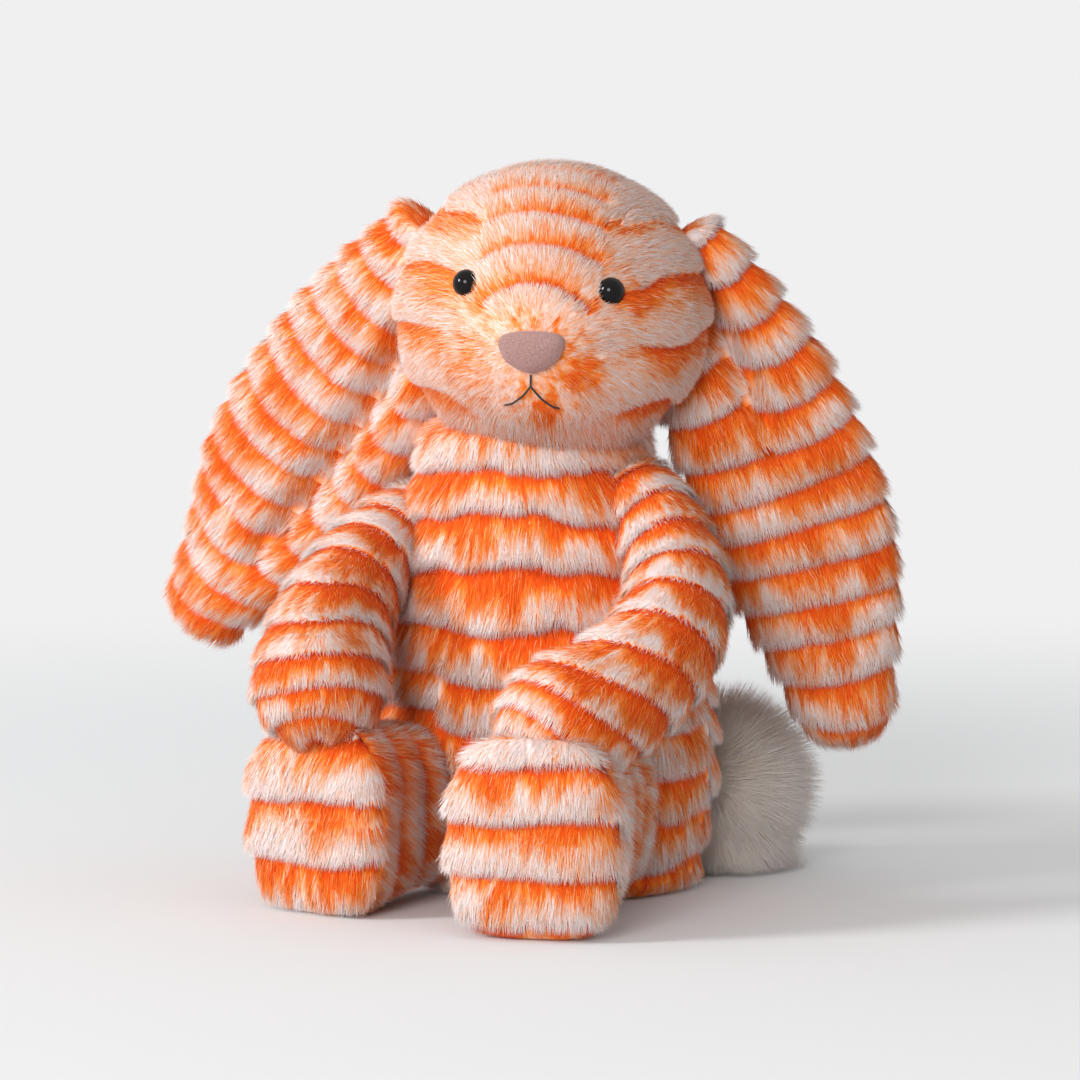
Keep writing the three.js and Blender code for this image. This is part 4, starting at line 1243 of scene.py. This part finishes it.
def plush_panel(name, body, node, coat, along, around, bare=None):
    """A panel of plush: a shell of cloth over part of a form, and strands on it where it isn't bare."""
    wrap = around[1] - around[0] >= 1
    parts = MeshParts()
    skin, tier, lit = add_cloth(parts, coat, along, around, wrap)
    random = np.random.default_rng(coat.seed)
    share_along, share_around = strand_places(coat, skin, tier, wrap, random)
    at = along[0] + share_along * (along[1] - along[0])
    turn = around[0] + share_around * (around[1] - around[0])
    if bare is not None:
        keep = ~bare(coat.form.surface(at, turn))
        at, turn, share_along, share_around = (
            values[keep] for values in (at, turn, share_along, share_around))
    lit = unit(between_grid(lit, share_along, share_around, wrap))
    add_pile(parts, coat, at, turn, lit, random)
    piece = parts.make(name)
    finish_piece(piece, body, node, f"{coat.ramp}_pile")


def limb_panel(side, limb, face, coat, along, around):
    """A panel of plush on an ear, an arm or a leg."""
    part = f"{side}_{limb}"
    plush_panel(f"{part}_{face}_plush", part, f"{part}_{face}_panel", coat, along, around)


def closed_grid(name, points):
    """A closed surface from rings of points, with a point at the middle of each end ring."""
    rows, columns = points.shape[:2]
    size = rows * columns
    every = np.concatenate([points.reshape(-1, 3), [points[0].mean(axis=0), points[-1].mean(axis=0)]])
    faces = grid_faces(rows, columns, True)
    first = np.arange(columns)
    last = (rows - 1) * columns + first
    start = np.stack([np.full(columns, size), first, np.roll(first, -1)], axis=1)
    end = np.stack([np.full(columns, size + 1), np.roll(last, -1), last], axis=1)
    ends = np.concatenate([start, end])
    middle = every[:size].mean(axis=0)
    across = np.cross(every[faces[:, 2]] - every[faces[:, 0]], every[faces[:, 3]] - every[faces[:, 1]])
    if np.sum(across * (every[faces[:, 0]] - middle)) < 0:
        faces, ends = faces[:, ::-1], ends[:, ::-1]
    along = np.repeat(np.linspace(0, 1, rows), columns)
    around = np.tile(np.arange(columns) / columns, rows)
    flat = np.concatenate([np.stack([around, along], axis=-1), [[0.5, 0], [0.5, 1]]])
    parts = MeshParts()
    parts.add(every, faces, flat[faces])
    parts.add(np.empty((0, 3)), ends - len(every), flat[ends])
    return parts.make(name)


def finish_piece(piece, body, node, material):
    """Gives a piece its material, the body that it rides on and the solid that it stands for."""
    piece.data.materials.append(bpy.data.materials[material])
    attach(piece, body)
    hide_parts(node)


def linear(red, green, blue):
    """A screen colour from 0 to 255 as linear light, with full alpha."""
    screen = np.array([red, green, blue]) / 255
    light = np.where(screen <= 0.04045, screen / 12.92, ((screen + 0.055) / 1.055) ** 2.4)
    return (*(float(value) for value in light), 1.0)


def number(name, description, default, **more):
    """A number among the settings."""
    return bpy.props.FloatProperty(name=name, description=description, default=default, **more)


def colour(name, description, *screen):
    """A colour among the settings, given as a screen colour."""
    return bpy.props.FloatVectorProperty(
        name=name, description=description, size=4, subtype="COLOR", default=linear(*screen))


class PlushPile(bpy.types.PropertyGroup):
    """Sizes of the pile."""

    strands_per_area: number("Strands per square metre", "How densely the strands stand", 2.4e6)
    length_factor: number("Pile length", "Scales the length of every strand", 1.0, subtype="FACTOR")


class PlushColours(bpy.types.PropertyGroup):
    """Colours of the cloth, the face, the filling and the floor."""

    # Deep orange: the darkest stop, mixed into the roots' own colour, and reached by the painted shade in the
    # grooves
    deep: colour("Deep orange", "Roots in the grooves", 204, 44, 6)
    orange: colour("Orange", "The pile's main colour", 244, 86, 13)
    amber: colour("Light orange", "The tips of the orange pile", 255, 142, 50)
    peach: colour("Peach", "Between orange and pale", 254, 190, 154)
    pale: colour("Pale tips", "The tips of the pile", 248, 235, 234)
    cream: colour("Cream", "The tail's pile", 255, 245, 230)
    cream_root: colour("Cream roots", "The roots of the tail's pile", 220, 182, 150)
    suede: colour("Nose", "Brushed cloth of the nose", 158, 121, 116)
    black: colour("Black", "Eyes and thread", 6, 5, 5)
    fibre: colour("Filling", "Loose fibre inside", 244, 242, 236)
    linen: colour("Pouch", "Woven cloth of the pellet pouch", 216, 207, 192)
    floor: colour("Floor", "The pale floor", 226, 227, 228)


class PlushStage(bpy.types.PropertyGroup):
    """The camera and the lamps."""

    azimuth: number("Azimuth", "The camera's turn round the rabbit, in degrees", 20.0)
    elevation: number("Elevation", "The camera's height above level, in degrees", 4.5)
    distance: number("Distance", "From the camera to the rabbit", 1.5, unit="LENGTH")
    lens: number("Lens", "Focal length in millimetres", 155.0)
    aim: bpy.props.FloatVectorProperty(
        name="Aim", description="The point in the middle of the picture", size=3, subtype="TRANSLATION",
        unit="LENGTH", default=(-0.0045, -0.0017, 0.112))
    key: number("Key lamp", "Power of the lamp at the left, in watts", 106.0)
    front: number("Front lamp", "Power of the larger lamp in front, in watts", 85.0)
    sky: number("Room light", "Strength of the even light from all round", 0.58)


class Nodes:
    """Short ways to add and join the nodes of a material."""

    def __init__(self, name):
        material = bpy.data.materials.new(name)
        material.use_nodes = True
        self.tree = material.node_tree
        self.surface = self.tree.nodes["Principled BSDF"]

    def add(self, kind, **values):
        node = self.tree.nodes.new(kind)
        for key, value in values.items():
            setattr(node, key, value)
        return node

    def join(self, output, socket):
        self.tree.links.new(output, socket)

    def set(self, **values):
        """Sets inputs of the surface by their names, in small letters and joined by underscores."""
        for key, value in values.items():
            name = key.replace("_", " ").title().replace("Ior", "IOR")
            self.surface.inputs[name].default_value = value

    def ramp(self, factor, stops):
        """A colour ramp through stops of (place, colour)."""
        node = self.add("ShaderNodeValToRGB")
        while len(node.color_ramp.elements) < len(stops):
            node.color_ramp.elements.new(0.5)
        for element, (place, tone) in zip(node.color_ramp.elements, stops):
            element.position = place
            element.color = tone
        self.join(factor, node.inputs["Fac"])
        return node.outputs["Color"]

    def noise(self, scale, detail):
        """Noise on Object coordinates."""
        where = self.add("ShaderNodeTexCoord")
        node = self.add("ShaderNodeTexNoise")
        node.inputs["Scale"].default_value = scale
        node.inputs["Detail"].default_value = detail
        self.join(where.outputs["Object"], node.inputs["Vector"])
        return node.outputs["Fac"]

    def bump(self, height, depth, strength=1.0):
        """Bumps the surface by a height from 0 to 1 times the depth."""
        node = self.add("ShaderNodeBump")
        node.inputs["Distance"].default_value = depth
        node.inputs["Strength"].default_value = strength
        self.join(height, node.inputs["Height"])
        self.join(node.outputs["Normal"], self.surface.inputs["Normal"])


def plush_material(name, stops, sheen):
    """Pile: its colour comes from the tint across its map, and its brightness from the other way: random for
    strands, with painted shade towards each groove on the cloth.
    """
    nodes = Nodes(name)
    where = nodes.add("ShaderNodeUVMap", uv_map=BAKE_MAP)
    parts = nodes.add("ShaderNodeSeparateXYZ")
    nodes.join(where.outputs["UV"], parts.inputs["Vector"])
    tint = nodes.ramp(parts.outputs["X"], stops)
    # Brightness: random from strand to strand, and painted shade towards each groove on the cloth
    shade = nodes.ramp(parts.outputs["Y"], [(0, (0.88, 0.87, 0.86, 1)), (1, (1, 1, 1, 1))])
    mix = nodes.add("ShaderNodeMix", data_type="RGBA", blend_type="MULTIPLY")
    mix.inputs["Factor"].default_value = 1
    base, layer = [socket for socket in mix.inputs if socket.type == "RGBA"]
    result = next(socket for socket in mix.outputs if socket.type == "RGBA")
    nodes.join(tint, base)
    nodes.join(shade, layer)
    nodes.join(result, nodes.surface.inputs["Base Color"])
    nodes.set(roughness=0.75, sheen_weight=sheen, sheen_roughness=0.5, specular_ior_level=0.1)


def speckled_material(name, scale, detail, stops, bump=None, bump_scale=None, **values):
    """A finish with the colours of a ramp through noise, and with bumps of that noise or of a finer one.

    The bump is (depth, strength), or only (depth,).
    """
    nodes = Nodes(name)
    grain = nodes.noise(scale, detail)
    nodes.join(nodes.ramp(grain, stops), nodes.surface.inputs["Base Color"])
    if bump:
        nodes.bump(nodes.noise(bump_scale, detail) if bump_scale else grain, *bump)
    nodes.set(**values)


def make_materials(colours):
    """The finishes of all pieces."""
    plush_material("striped_pile", [
        (0.0, colours.deep), (0.17, colours.orange), (0.38, colours.amber), (0.6, colours.peach),
        (0.84, colours.pale)], 0.08)
    plush_material("cream_pile", [
        (0.05, colours.cream_root), (0.55, colours.cream), (1.0, colours.pale)], 0.25)

    black, suede = tuple(colours.black), tuple(colours.suede)
    suede_dark = tuple(0.66 * value for value in suede[:3]) + (1.0,)
    suede_pale = tuple(min(1, 1.25 * value) for value in suede[:3]) + (1.0,)
    speckled_material(
        "eye_gloss", 90, 2, [(0.3, black), (0.8, linear(16, 12, 11))],
        roughness=0.06, specular_ior_level=0.2)
    speckled_material(
        "nose_nap", 2600, 4, [(0.32, suede_dark), (0.5, suede), (0.7, suede_pale)], (0.35 * MM, 0.7),
        roughness=0.95, sheen_weight=0.2)
    speckled_material(
        "black_thread", 1800, 2, [(0.3, black), (0.75, linear(34, 30, 30))], (0.1 * MM,), 2400,
        roughness=0.6, sheen_weight=0.1)
    speckled_material(
        "loose_fibre", 420, 6, [(0.25, linear(226, 222, 214)), (0.75, tuple(colours.fibre))], (0.8 * MM,),
        roughness=1.0, sheen_weight=0.3)
    speckled_material(
        "pouch_linen", 1500, 2, [(0.3, linear(190, 180, 164)), (0.7, tuple(colours.linen))], (0.2 * MM,),
        roughness=0.9)
    for name, light, dark in (("pellet_plastic", (243, 228, 220), (226, 206, 196)),
                              ("washer_white", (244, 243, 240), (228, 226, 220))):
        speckled_material(name, 300, 2, [(0.3, linear(*dark)), (0.7, linear(*light))], roughness=0.45)


def filling(part, form, depth, seed, start=0.02):
    """Loose fibre inside a cover: the form drawn in, with soft lumps."""
    body = "torso" if part == "body" else part
    rows = np.linspace(start, FILLING_END, FILLING_ROWS)
    columns = np.linspace(0, 1, FILLING_COLUMNS + 1)[:-1]
    points, normals, _ = form.frame_at(*np.meshgrid(rows, columns, indexing="ij"))
    lumps = sum(
        height * soft_noise(points, cell, seed + step) for step, (height, cell) in enumerate(FILLING_LUMPS))
    points = points - normals * (depth - lumps)[..., None]
    points[..., 2] = np.maximum(points[..., 2], FILLING_FLOOR)
    piece = closed_grid(f"{part}_filling", points)
    finish_piece(piece, body, f"{part}_stuffing", "loose_fibre")


class OBJECT_OT_plush_materials(bpy.types.Operator):
    """Make the finishes of the plush, the face and the filling"""

    bl_idname = "object.plush_materials"
    bl_label = "Finishes"

    def execute(self, context):
        make_materials(context.scene.plush_colours)
        return {"FINISHED"}


class OBJECT_OT_plush_body(bpy.types.Operator):
    """Make the body's front, back and base panels"""

    bl_idname = "object.plush_body"
    bl_label = "Body"

    def execute(self, context):
        form = body_form()

        def under_head(points):
            return distance(points, HEAD_CENTRE) < BARE_HEAD * HEAD_SIZE.min() / 2

        side = (0.0, form.seat_from)
        for seed, face, around in ((11, "back", (0, 0.5)), (12, "front", (0.5, 1))):
            plush_panel(f"body_{face}_plush", "torso", f"body_{face}_panel",
                        BodyCoat(form, seed), side, around, under_head)
        plush_panel("base_plush", "torso", "base_panel", BaseCoat(form, 13), (form.seat_from, 0.995), (0, 1))
        filling("body", form, 13 * MM, 14)
        return {"FINISHED"}


class OBJECT_OT_plush_tail(bpy.types.Operator):
    """Make the tail"""

    bl_idname = "object.plush_tail"
    bl_label = "Tail"

    def execute(self, context):
        form = tail_form()
        plush_panel("tail_plush", "tail", "tail_cover", TailCoat(form, 21), (0.22, 0.995), (0, 1))
        filling("tail", form, 13 * MM, 22)
        return {"FINISHED"}


class OBJECT_OT_plush_head(bpy.types.Operator):
    """Make the head's middle strip and its two side panels"""

    bl_idname = "object.plush_head"
    bl_label = "Head"

    def execute(self, context):
        form = head_form()
        nose, nose_axes = face_frame(0, -NOSE_DROP)
        eyes = [face_frame(mirror * EYE_ACROSS, EYE_RISE)[0] for mirror in SIDES.values()]

        def under_face(points):
            local = (points - nose) @ nose_axes.T
            nose_half = BARE_NOSE * np.array([NOSE_WIDTH, NOSE_HEIGHT])
            on_nose = np.hypot(*(local[:, :2] / nose_half).T) < 1
            on_nose = on_nose & (local[:, 2] > -BARE_NOSE_DEPTH)
            on_eye = np.min([distance(points, eye) for eye in eyes], axis=0) < BARE_EYE * EYE_RADIUS
            in_neck = points[:, 2] < BODY_HEIGHT - BARE_NECK_DROP
            off_neck = np.hypot(points[:, 0] + NECK_ASIDE, points[:, 1] + NECK_FORWARD)
            in_neck = in_neck & (off_neck < BARE_NECK * NECK_WIDTH)
            return on_nose | on_eye | in_neck

        half = GUSSET_HALF_ANGLE / 360
        panels = (
            (31, "gusset", "head_gusset", (0.25 - half, 0.25 + half)),
            (32, "left", "head_left_panel", (-0.25, 0.25 - half)),
            (33, "right", "head_right_panel", (0.25 + half, 0.75)),
        )
        for seed, name, node, around in panels:
            plush_panel(f"head_{name}_plush", "head", node,
                        HeadCoat(form, seed), (0.02, 0.997), around, under_face)
        filling("head", form, 15 * MM, 34)
        return {"FINISHED"}


class OBJECT_OT_plush_face(bpy.types.Operator):
    """Make the eyes, the nose patch and the mouth thread"""

    bl_idname = "object.plush_face"
    bl_label = "Face"

    def execute(self, context):
        for side, mirror in SIDES.items():
            self.make_eye(side, mirror)
        self.make_nose()
        self.make_mouth()
        for side in SIDES:
            washer = frame["nodes"][f"{side}_eye_washer"]
            washer.data.materials.clear()
            washer.data.materials.append(bpy.data.materials["washer_white"])
        return {"FINISHED"}

    def make_eye(self, side, mirror):
        """A dome on a post, turned about its own axis."""
        place, axes = face_frame(mirror * EYE_ACROSS, EYE_RISE)
        dome = np.linspace(0.01, 1, 16) * QUARTER
        radius = np.concatenate([EYE_RADIUS * np.sin(dome), EYE_BACK[:, 0]])[:, None]
        rise = np.concatenate([EYE_DOME * np.cos(dome), -EYE_BACK[:, 1]])[:, None] - EYE_SINK
        angle = ring_angles(40)
        x, y = radius * np.cos(angle), radius * np.sin(angle)
        local = np.stack([x, y, np.broadcast_to(rise, x.shape)], axis=-1)
        piece = closed_grid(f"{side}_eye_dome", local @ axes + place)
        finish_piece(piece, "head", f"{side}_eye", "eye_gloss")

    def make_nose(self):
        """A low dome over an oval drawn in towards its lower end, with a flat back."""
        place, axes = face_frame(0, -NOSE_DROP)
        angle = ring_angles(64)
        x = NOSE_WIDTH / 2 * np.cos(angle) * (1 + NOSE_TAPER * np.sin(angle)) / (1 + NOSE_TAPER ** 2 / 2)
        y = NOSE_HEIGHT / 2 * np.sign(np.sin(angle)) * np.abs(np.sin(angle)) ** NOSE_FULLNESS
        share = np.sin(np.linspace(0.02, 1, 14) * QUARTER)
        rise = NOSE_BULGE * np.sqrt(np.maximum(1 - share ** 2, 0))
        share = np.concatenate([share, NOSE_BACK[:, 0]])[:, None]
        rise = np.concatenate([rise, -NOSE_DEPTH * NOSE_BACK[:, 1]])[:, None]
        local = np.stack([share * x, share * y, np.broadcast_to(rise, (len(share), len(x)))], axis=-1)
        piece = closed_grid("nose_suede_patch", local @ axes + place)
        finish_piece(piece, "head", "nose_patch", "nose_nap")

    def make_mouth(self):
        """A stitched thread: a stem below the nose and two arcs from its end, as tubes with a twisted lay."""
        tip = -NOSE_DROP - NOSE_HEIGHT / 2 + STEM_TUCK
        fork = tip - MOUTH_STEM - FORK_LOWER
        half = MOUTH_WIDTH / 2
        share = np.linspace(-1, 1, 49)
        level = np.abs(share)
        drop = MOUTH_DROP * (2 * MOUTH_CURVE * 2 * level * (1 - level) + level * (2 * level - 1))
        arcs = [(half * across, fork - down) for across, down in zip(share, drop)]
        stem = [(0, tip + (fork - tip) * step) for step in np.linspace(0, 1.1, 12)]
        pieces = []
        for index, route in enumerate((arcs, stem)):
            frames = [face_frame(*place) for place in route]
            path = np.array([place + axes[2] * THREAD_RADIUS for place, axes in frames])
            out = np.array([axes[2] for _, axes in frames])
            pieces.append(self.make_thread(f"mouth_thread_{index + 1}", path, out))
        for piece in pieces:
            piece.data.materials.append(bpy.data.materials["black_thread"])
            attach(piece, "head")
        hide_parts("mouth_thread")

    def make_thread(self, name, path, out):
        """A tube along a path, its section a circle with ridges that twist."""
        ahead = unit(np.gradient(path, axis=0))
        side = unit(np.cross(ahead, out))
        angle = ring_angles(12)
        twist = np.arange(len(path))[:, None] * THREAD_TWIST
        radius = THREAD_RADIUS * (1 + THREAD_RIDGE * np.cos(THREAD_RIDGES * angle + twist))
        radius[[0, -1]] *= THREAD_END
        ring = side[:, None] * (radius * np.cos(angle))[..., None]
        ring = ring + out[:, None] * (radius * np.sin(angle))[..., None]
        return closed_grid(name, path[:, None] + ring)


class OBJECT_OT_plush_ears(bpy.types.Operator):
    """Make the ears' front and back panels"""

    bl_idname = "object.plush_ears"
    bl_label = "Ears"

    def execute(self, context):
        for seed, side in ((41, "left"), (51, "right")):
            form = ear_form(side)
            for step, face, around in ((0, "front", (0, 0.5)), (1, "back", (0.5, 1))):
                limb_panel(side, "ear", face, EarCoat(form, seed + step, side), (0.0, 0.99), around)
        return {"FINISHED"}


class OBJECT_OT_plush_arms(bpy.types.Operator):
    """Make the arms' outer and inner panels"""

    bl_idname = "object.plush_arms"
    bl_label = "Arms"

    def execute(self, context):
        for seed, side in ((61, "left"), (71, "right")):
            form = arm_form(side)
            for step, face, around in ((0, "outer", (0, 0.5)), (1, "inner", (0.5, 1))):
                limb_panel(side, "arm", face, ArmCoat(form, seed + step), (0.0, 0.995), around)
            filling(f"{side}_arm", form, 11 * MM, seed + 4, 0.12)
        return {"FINISHED"}


class OBJECT_OT_plush_legs(bpy.types.Operator):
    """Make the legs' side panels and their soles"""

    bl_idname = "object.plush_legs"
    bl_label = "Legs"

    def execute(self, context):
        for seed, side in ((81, "left"), (91, "right")):
            form = leg_form(side)
            faces = ("outer", "inner") if side == "left" else ("inner", "outer")
            for step, (face, around) in enumerate(zip(faces, ((-0.25, 0.25), (0.25, 0.75)))):
                limb_panel(side, "leg", face, LegCoat(form, seed + step), (0.2, form.cap_from), around)
            plush_panel(f"{side}_sole_plush", f"{side}_leg", f"{side}_leg_sole",
                        SoleCoat(form, seed + 2, side), (form.cap_from, 1.0), (0, 1))
            filling(f"{side}_leg", form, 12 * MM, seed + 4, 0.2)
        return {"FINISHED"}


class OBJECT_OT_plush_pouch(bpy.types.Operator):
    """Make the pellet pouch and its pellets"""

    bl_idname = "object.plush_pouch"
    bl_label = "Pouch"

    def execute(self, context):
        low, high = (np.array(corner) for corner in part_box("bean_pouch"))
        self.make_pouch(low, high)
        low, high = (np.array(corner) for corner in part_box("pellet_fill"))
        self.make_pellets(low, high)
        return {"FINISHED"}

    def make_pouch(self, low, high):
        """A sewn bag: a dome on a flat floor, gathered in pleats at its mouth."""
        centre = (low + high) / 2
        radius = (high - low)[:2].mean() / 2
        rise = np.linspace(*POUCH_RISE, 30) * QUARTER
        angle = ring_angles(96)
        pleat = 1 + POUCH_PLEAT * np.sin(POUCH_PLEATS * angle)[None, :] * np.sin(rise)[:, None] ** 2
        ring = radius * np.cos(rise)[:, None] * pleat
        height = np.broadcast_to((low[2] + (high[2] - low[2]) * np.sin(rise))[:, None], ring.shape)
        x, y = centre[0] + ring * np.cos(angle), centre[1] + ring * np.sin(angle)
        outer = np.stack([x, y, height], axis=-1)
        shrink = np.array([POUCH_FLOOR, POUCH_FLOOR, 1])
        floor = outer[:1] * shrink + centre * (1 - shrink)
        piece = closed_grid("pellet_pouch", np.concatenate([floor, outer]))
        finish_piece(piece, "torso", "bean_pouch", "pouch_linen")

    def make_pellets(self, low, high):
        """Small beads in layers inside the pouch, each a ball of six rings of eight points."""
        bead = PELLET_RADIUS
        spacing = PELLET_SPACING * bead
        across = np.arange(low[0] + bead, high[0] - bead, spacing)
        deep = np.arange(low[1] + bead, high[1] - bead, spacing)
        up = np.arange(low[2] + bead, high[2] - 2 * bead, spacing)
        spots = np.stack(np.meshgrid(across, deep, up, indexing="ij"), axis=-1).reshape(-1, 3)
        centre, half = (low + high) / 2, (high - low) / 2
        reach = np.hypot(*((spots - centre)[:, :2] / half[:2]).T)
        lift = (spots[:, 2] + bead - low[2]) / (high[2] - low[2])
        spots = spots[reach ** 2 + lift ** 2 < PELLETS_WITHIN]
        theta = np.linspace(0.08, 0.92, 6) * np.pi
        phi = ring_angles(8)
        ball = np.stack([
            np.sin(theta)[:, None] * np.cos(phi), np.sin(theta)[:, None] * np.sin(phi),
            np.broadcast_to(np.cos(theta)[:, None], (len(theta), len(phi)))], axis=-1).reshape(-1, 3)
        points = (spots[:, None] + bead * ball).reshape(-1, 3)
        caps = np.array([[0, 1, 2, 3], [0, 3, 4, 7], [7, 4, 5, 6]])
        last_ring = len(ball) - len(phi)
        every = np.concatenate([grid_faces(len(theta), len(phi), True), caps, (caps + last_ring)[:, ::-1]])
        every = (every[None] + len(ball) * np.arange(len(spots))[:, None, None]).reshape(-1, 4)
        places = np.tile(np.array([[0, 0], [1, 0], [1, 1], [0, 1]], float), (len(every), 1))
        parts = MeshParts()
        parts.add(points, every, places)
        piece = parts.make("pellets")
        finish_piece(piece, "torso", "pellet_fill", "pellet_plastic")


class OBJECT_OT_plush_stage(bpy.types.Operator):
    """Make the floor, the lamps and the camera"""

    bl_idname = "object.plush_stage"
    bl_label = "Stage"

    def execute(self, context):
        stage = context.scene.plush_stage
        self.make_floor(context.scene.plush_colours.floor)
        self.make_lamps(stage)
        self.make_room(context.scene, stage)
        self.make_camera(context.scene, stage)
        context.scene.view_settings.view_transform = "Standard"
        return {"FINISHED"}

    def make_floor(self, paper):
        """A round pale floor that fades into the room's colour at its rim."""
        radius = np.linspace(0.01, 1, 40)[:, None] ** 1.5 * FLOOR_RADIUS
        angle = ring_angles(96)
        x, y = radius * np.cos(angle), radius * np.sin(angle)
        points = np.stack([x, y, np.zeros(x.shape)], axis=-1)
        parts = MeshParts()
        faces = grid_faces(*x.shape, True)
        middle = np.arange(len(angle))[None, :]
        flat = points[..., :2].reshape(-1, 2) / FLOOR_MAP + 0.5
        parts.add(points.reshape(-1, 3), faces, flat[faces])
        floor = parts.make("floor")
        disc = bpy.data.meshes.new("floor_middle")
        disc.from_pydata(points[0].tolist(), [], middle.tolist())
        centre = bpy.data.objects.new("floor_middle", disc)
        bpy.context.scene.collection.objects.link(centre)

        nodes = Nodes("floor_paper")
        nodes.surface.inputs["Base Color"].default_value = paper
        nodes.set(roughness=0.9)
        where = nodes.add("ShaderNodeTexCoord")
        length = nodes.add("ShaderNodeVectorMath", operation="LENGTH")
        nodes.join(where.outputs["Object"], length.inputs[0])
        fade = nodes.add("ShaderNodeMapRange", interpolation_type="SMOOTHSTEP")
        for name, value in zip(("From Min", "From Max", "To Min", "To Max"), (*FLOOR_FADE, 1, 0)):
            fade.inputs[name].default_value = value
        nodes.join(length.outputs["Value"], fade.inputs["Value"])
        nodes.join(fade.outputs["Result"], nodes.surface.inputs["Alpha"])
        for piece in (floor, centre):
            piece.data.materials.append(bpy.data.materials["floor_paper"])

    def make_lamps(self, stage):
        """A soft lamp at the left and a larger one in front."""
        lamps = (
            ("key", stage.key, 1.1, (-2.7, -2.3, 1.6)),
            ("front", stage.front, 1.6, (0.3, -3.65, 1.2)),
        )
        for name, power, size, place in lamps:
            light = bpy.data.lights.new(name, "AREA")
            light.energy = power
            light.shape = "DISK"
            light.size = size
            lamp = bpy.data.objects.new(name, light)
            bpy.context.scene.collection.objects.link(lamp)
            lamp.location = place
            towards = Vector(LAMP_AIM) - lamp.location
            lamp.rotation_euler = towards.to_track_quat("-Z", "Y").to_euler()

    def make_room(self, scene, stage):
        """Even light from all round, which the camera, and reflections, see as a pale grey."""
        world = bpy.data.worlds.new("room")
        scene.world = world
        world.use_nodes = True
        tree = world.node_tree
        lit = tree.nodes["Background"]
        lit.inputs["Color"].default_value = (1, 1, 1, 1)
        lit.inputs["Strength"].default_value = stage.sky
        seen = tree.nodes.new("ShaderNodeBackground")
        seen.inputs["Color"].default_value = linear(*ROOM_SEEN)
        path = tree.nodes.new("ShaderNodeLightPath")
        mix = tree.nodes.new("ShaderNodeMixShader")
        seen_by = path.outputs["Is Camera Ray"]
        for ray in ("Is Glossy Ray", "Is Transmission Ray"):
            either = tree.nodes.new("ShaderNodeMath")
            either.operation = "MAXIMUM"
            tree.links.new(seen_by, either.inputs[0])
            tree.links.new(path.outputs[ray], either.inputs[1])
            seen_by = either.outputs[0]
        tree.links.new(seen_by, mix.inputs["Fac"])
        tree.links.new(lit.outputs["Background"], mix.inputs[1])
        tree.links.new(seen.outputs["Background"], mix.inputs[2])
        tree.links.new(mix.outputs["Shader"], tree.nodes["World Output"].inputs["Surface"])

    def make_camera(self, scene, stage):
        """A long lens at the photograph's height and turn."""
        camera = bpy.data.objects.new("camera", bpy.data.cameras.new("camera"))
        scene.collection.objects.link(camera)
        camera.data.lens = stage.lens
        camera.data.sensor_width = 36
        camera.data.clip_end = 50
        turn, rise = np.radians(stage.azimuth), np.radians(stage.elevation)
        back = np.array([np.sin(turn) * np.cos(rise), -np.cos(turn) * np.cos(rise), np.sin(rise)])
        camera.location = np.array(stage.aim) + stage.distance * back
        camera.rotation_euler = (QUARTER - rise, 0, turn)
        scene.camera = camera


class VIEW3D_PT_plush(bpy.types.Panel):
    """The pieces of the plush rabbit"""

    bl_label = "Plush rabbit"
    bl_idname = "VIEW3D_PT_plush"
    bl_space_type = "VIEW_3D"
    bl_region_type = "UI"
    bl_category = "Plush rabbit"

    def draw(self, context):
        scene = context.scene
        for group in (scene.plush_pile, scene.plush_colours, scene.plush_stage):
            box = self.layout.box()
            for name in group.bl_rna.properties.keys():
                if name not in ("rna_type", "name"):
                    box.prop(group, name)
        for operator in PIECES:
            self.layout.operator(operator.bl_idname)


GROUPS = {"plush_pile": PlushPile, "plush_colours": PlushColours, "plush_stage": PlushStage}
PIECES = (
    OBJECT_OT_plush_materials,
    OBJECT_OT_plush_body,
    OBJECT_OT_plush_tail,
    OBJECT_OT_plush_head,
    OBJECT_OT_plush_face,
    OBJECT_OT_plush_ears,
    OBJECT_OT_plush_arms,
    OBJECT_OT_plush_legs,
    OBJECT_OT_plush_pouch,
    OBJECT_OT_plush_stage,
)


def register():
    """Registers the settings, the operators and the panel."""
    for item in (*GROUPS.values(), *PIECES, VIEW3D_PT_plush):
        bpy.utils.register_class(item)
    for name, group in GROUPS.items():
        setattr(bpy.types.Scene, name, bpy.props.PointerProperty(type=group))


def unregister():
    """Takes away what register added."""
    for name in GROUPS:
        delattr(bpy.types.Scene, name)
    for item in (VIEW3D_PT_plush, *reversed(PIECES), *reversed(GROUPS.values())):
        bpy.utils.unregister_class(item)


def main():
    """Makes every piece in order."""
    register()
    for operator in PIECES:
        group, name = operator.bl_idname.split(".")
        getattr(getattr(bpy.ops, group), name)()


if __name__ == "__main__":
    main()
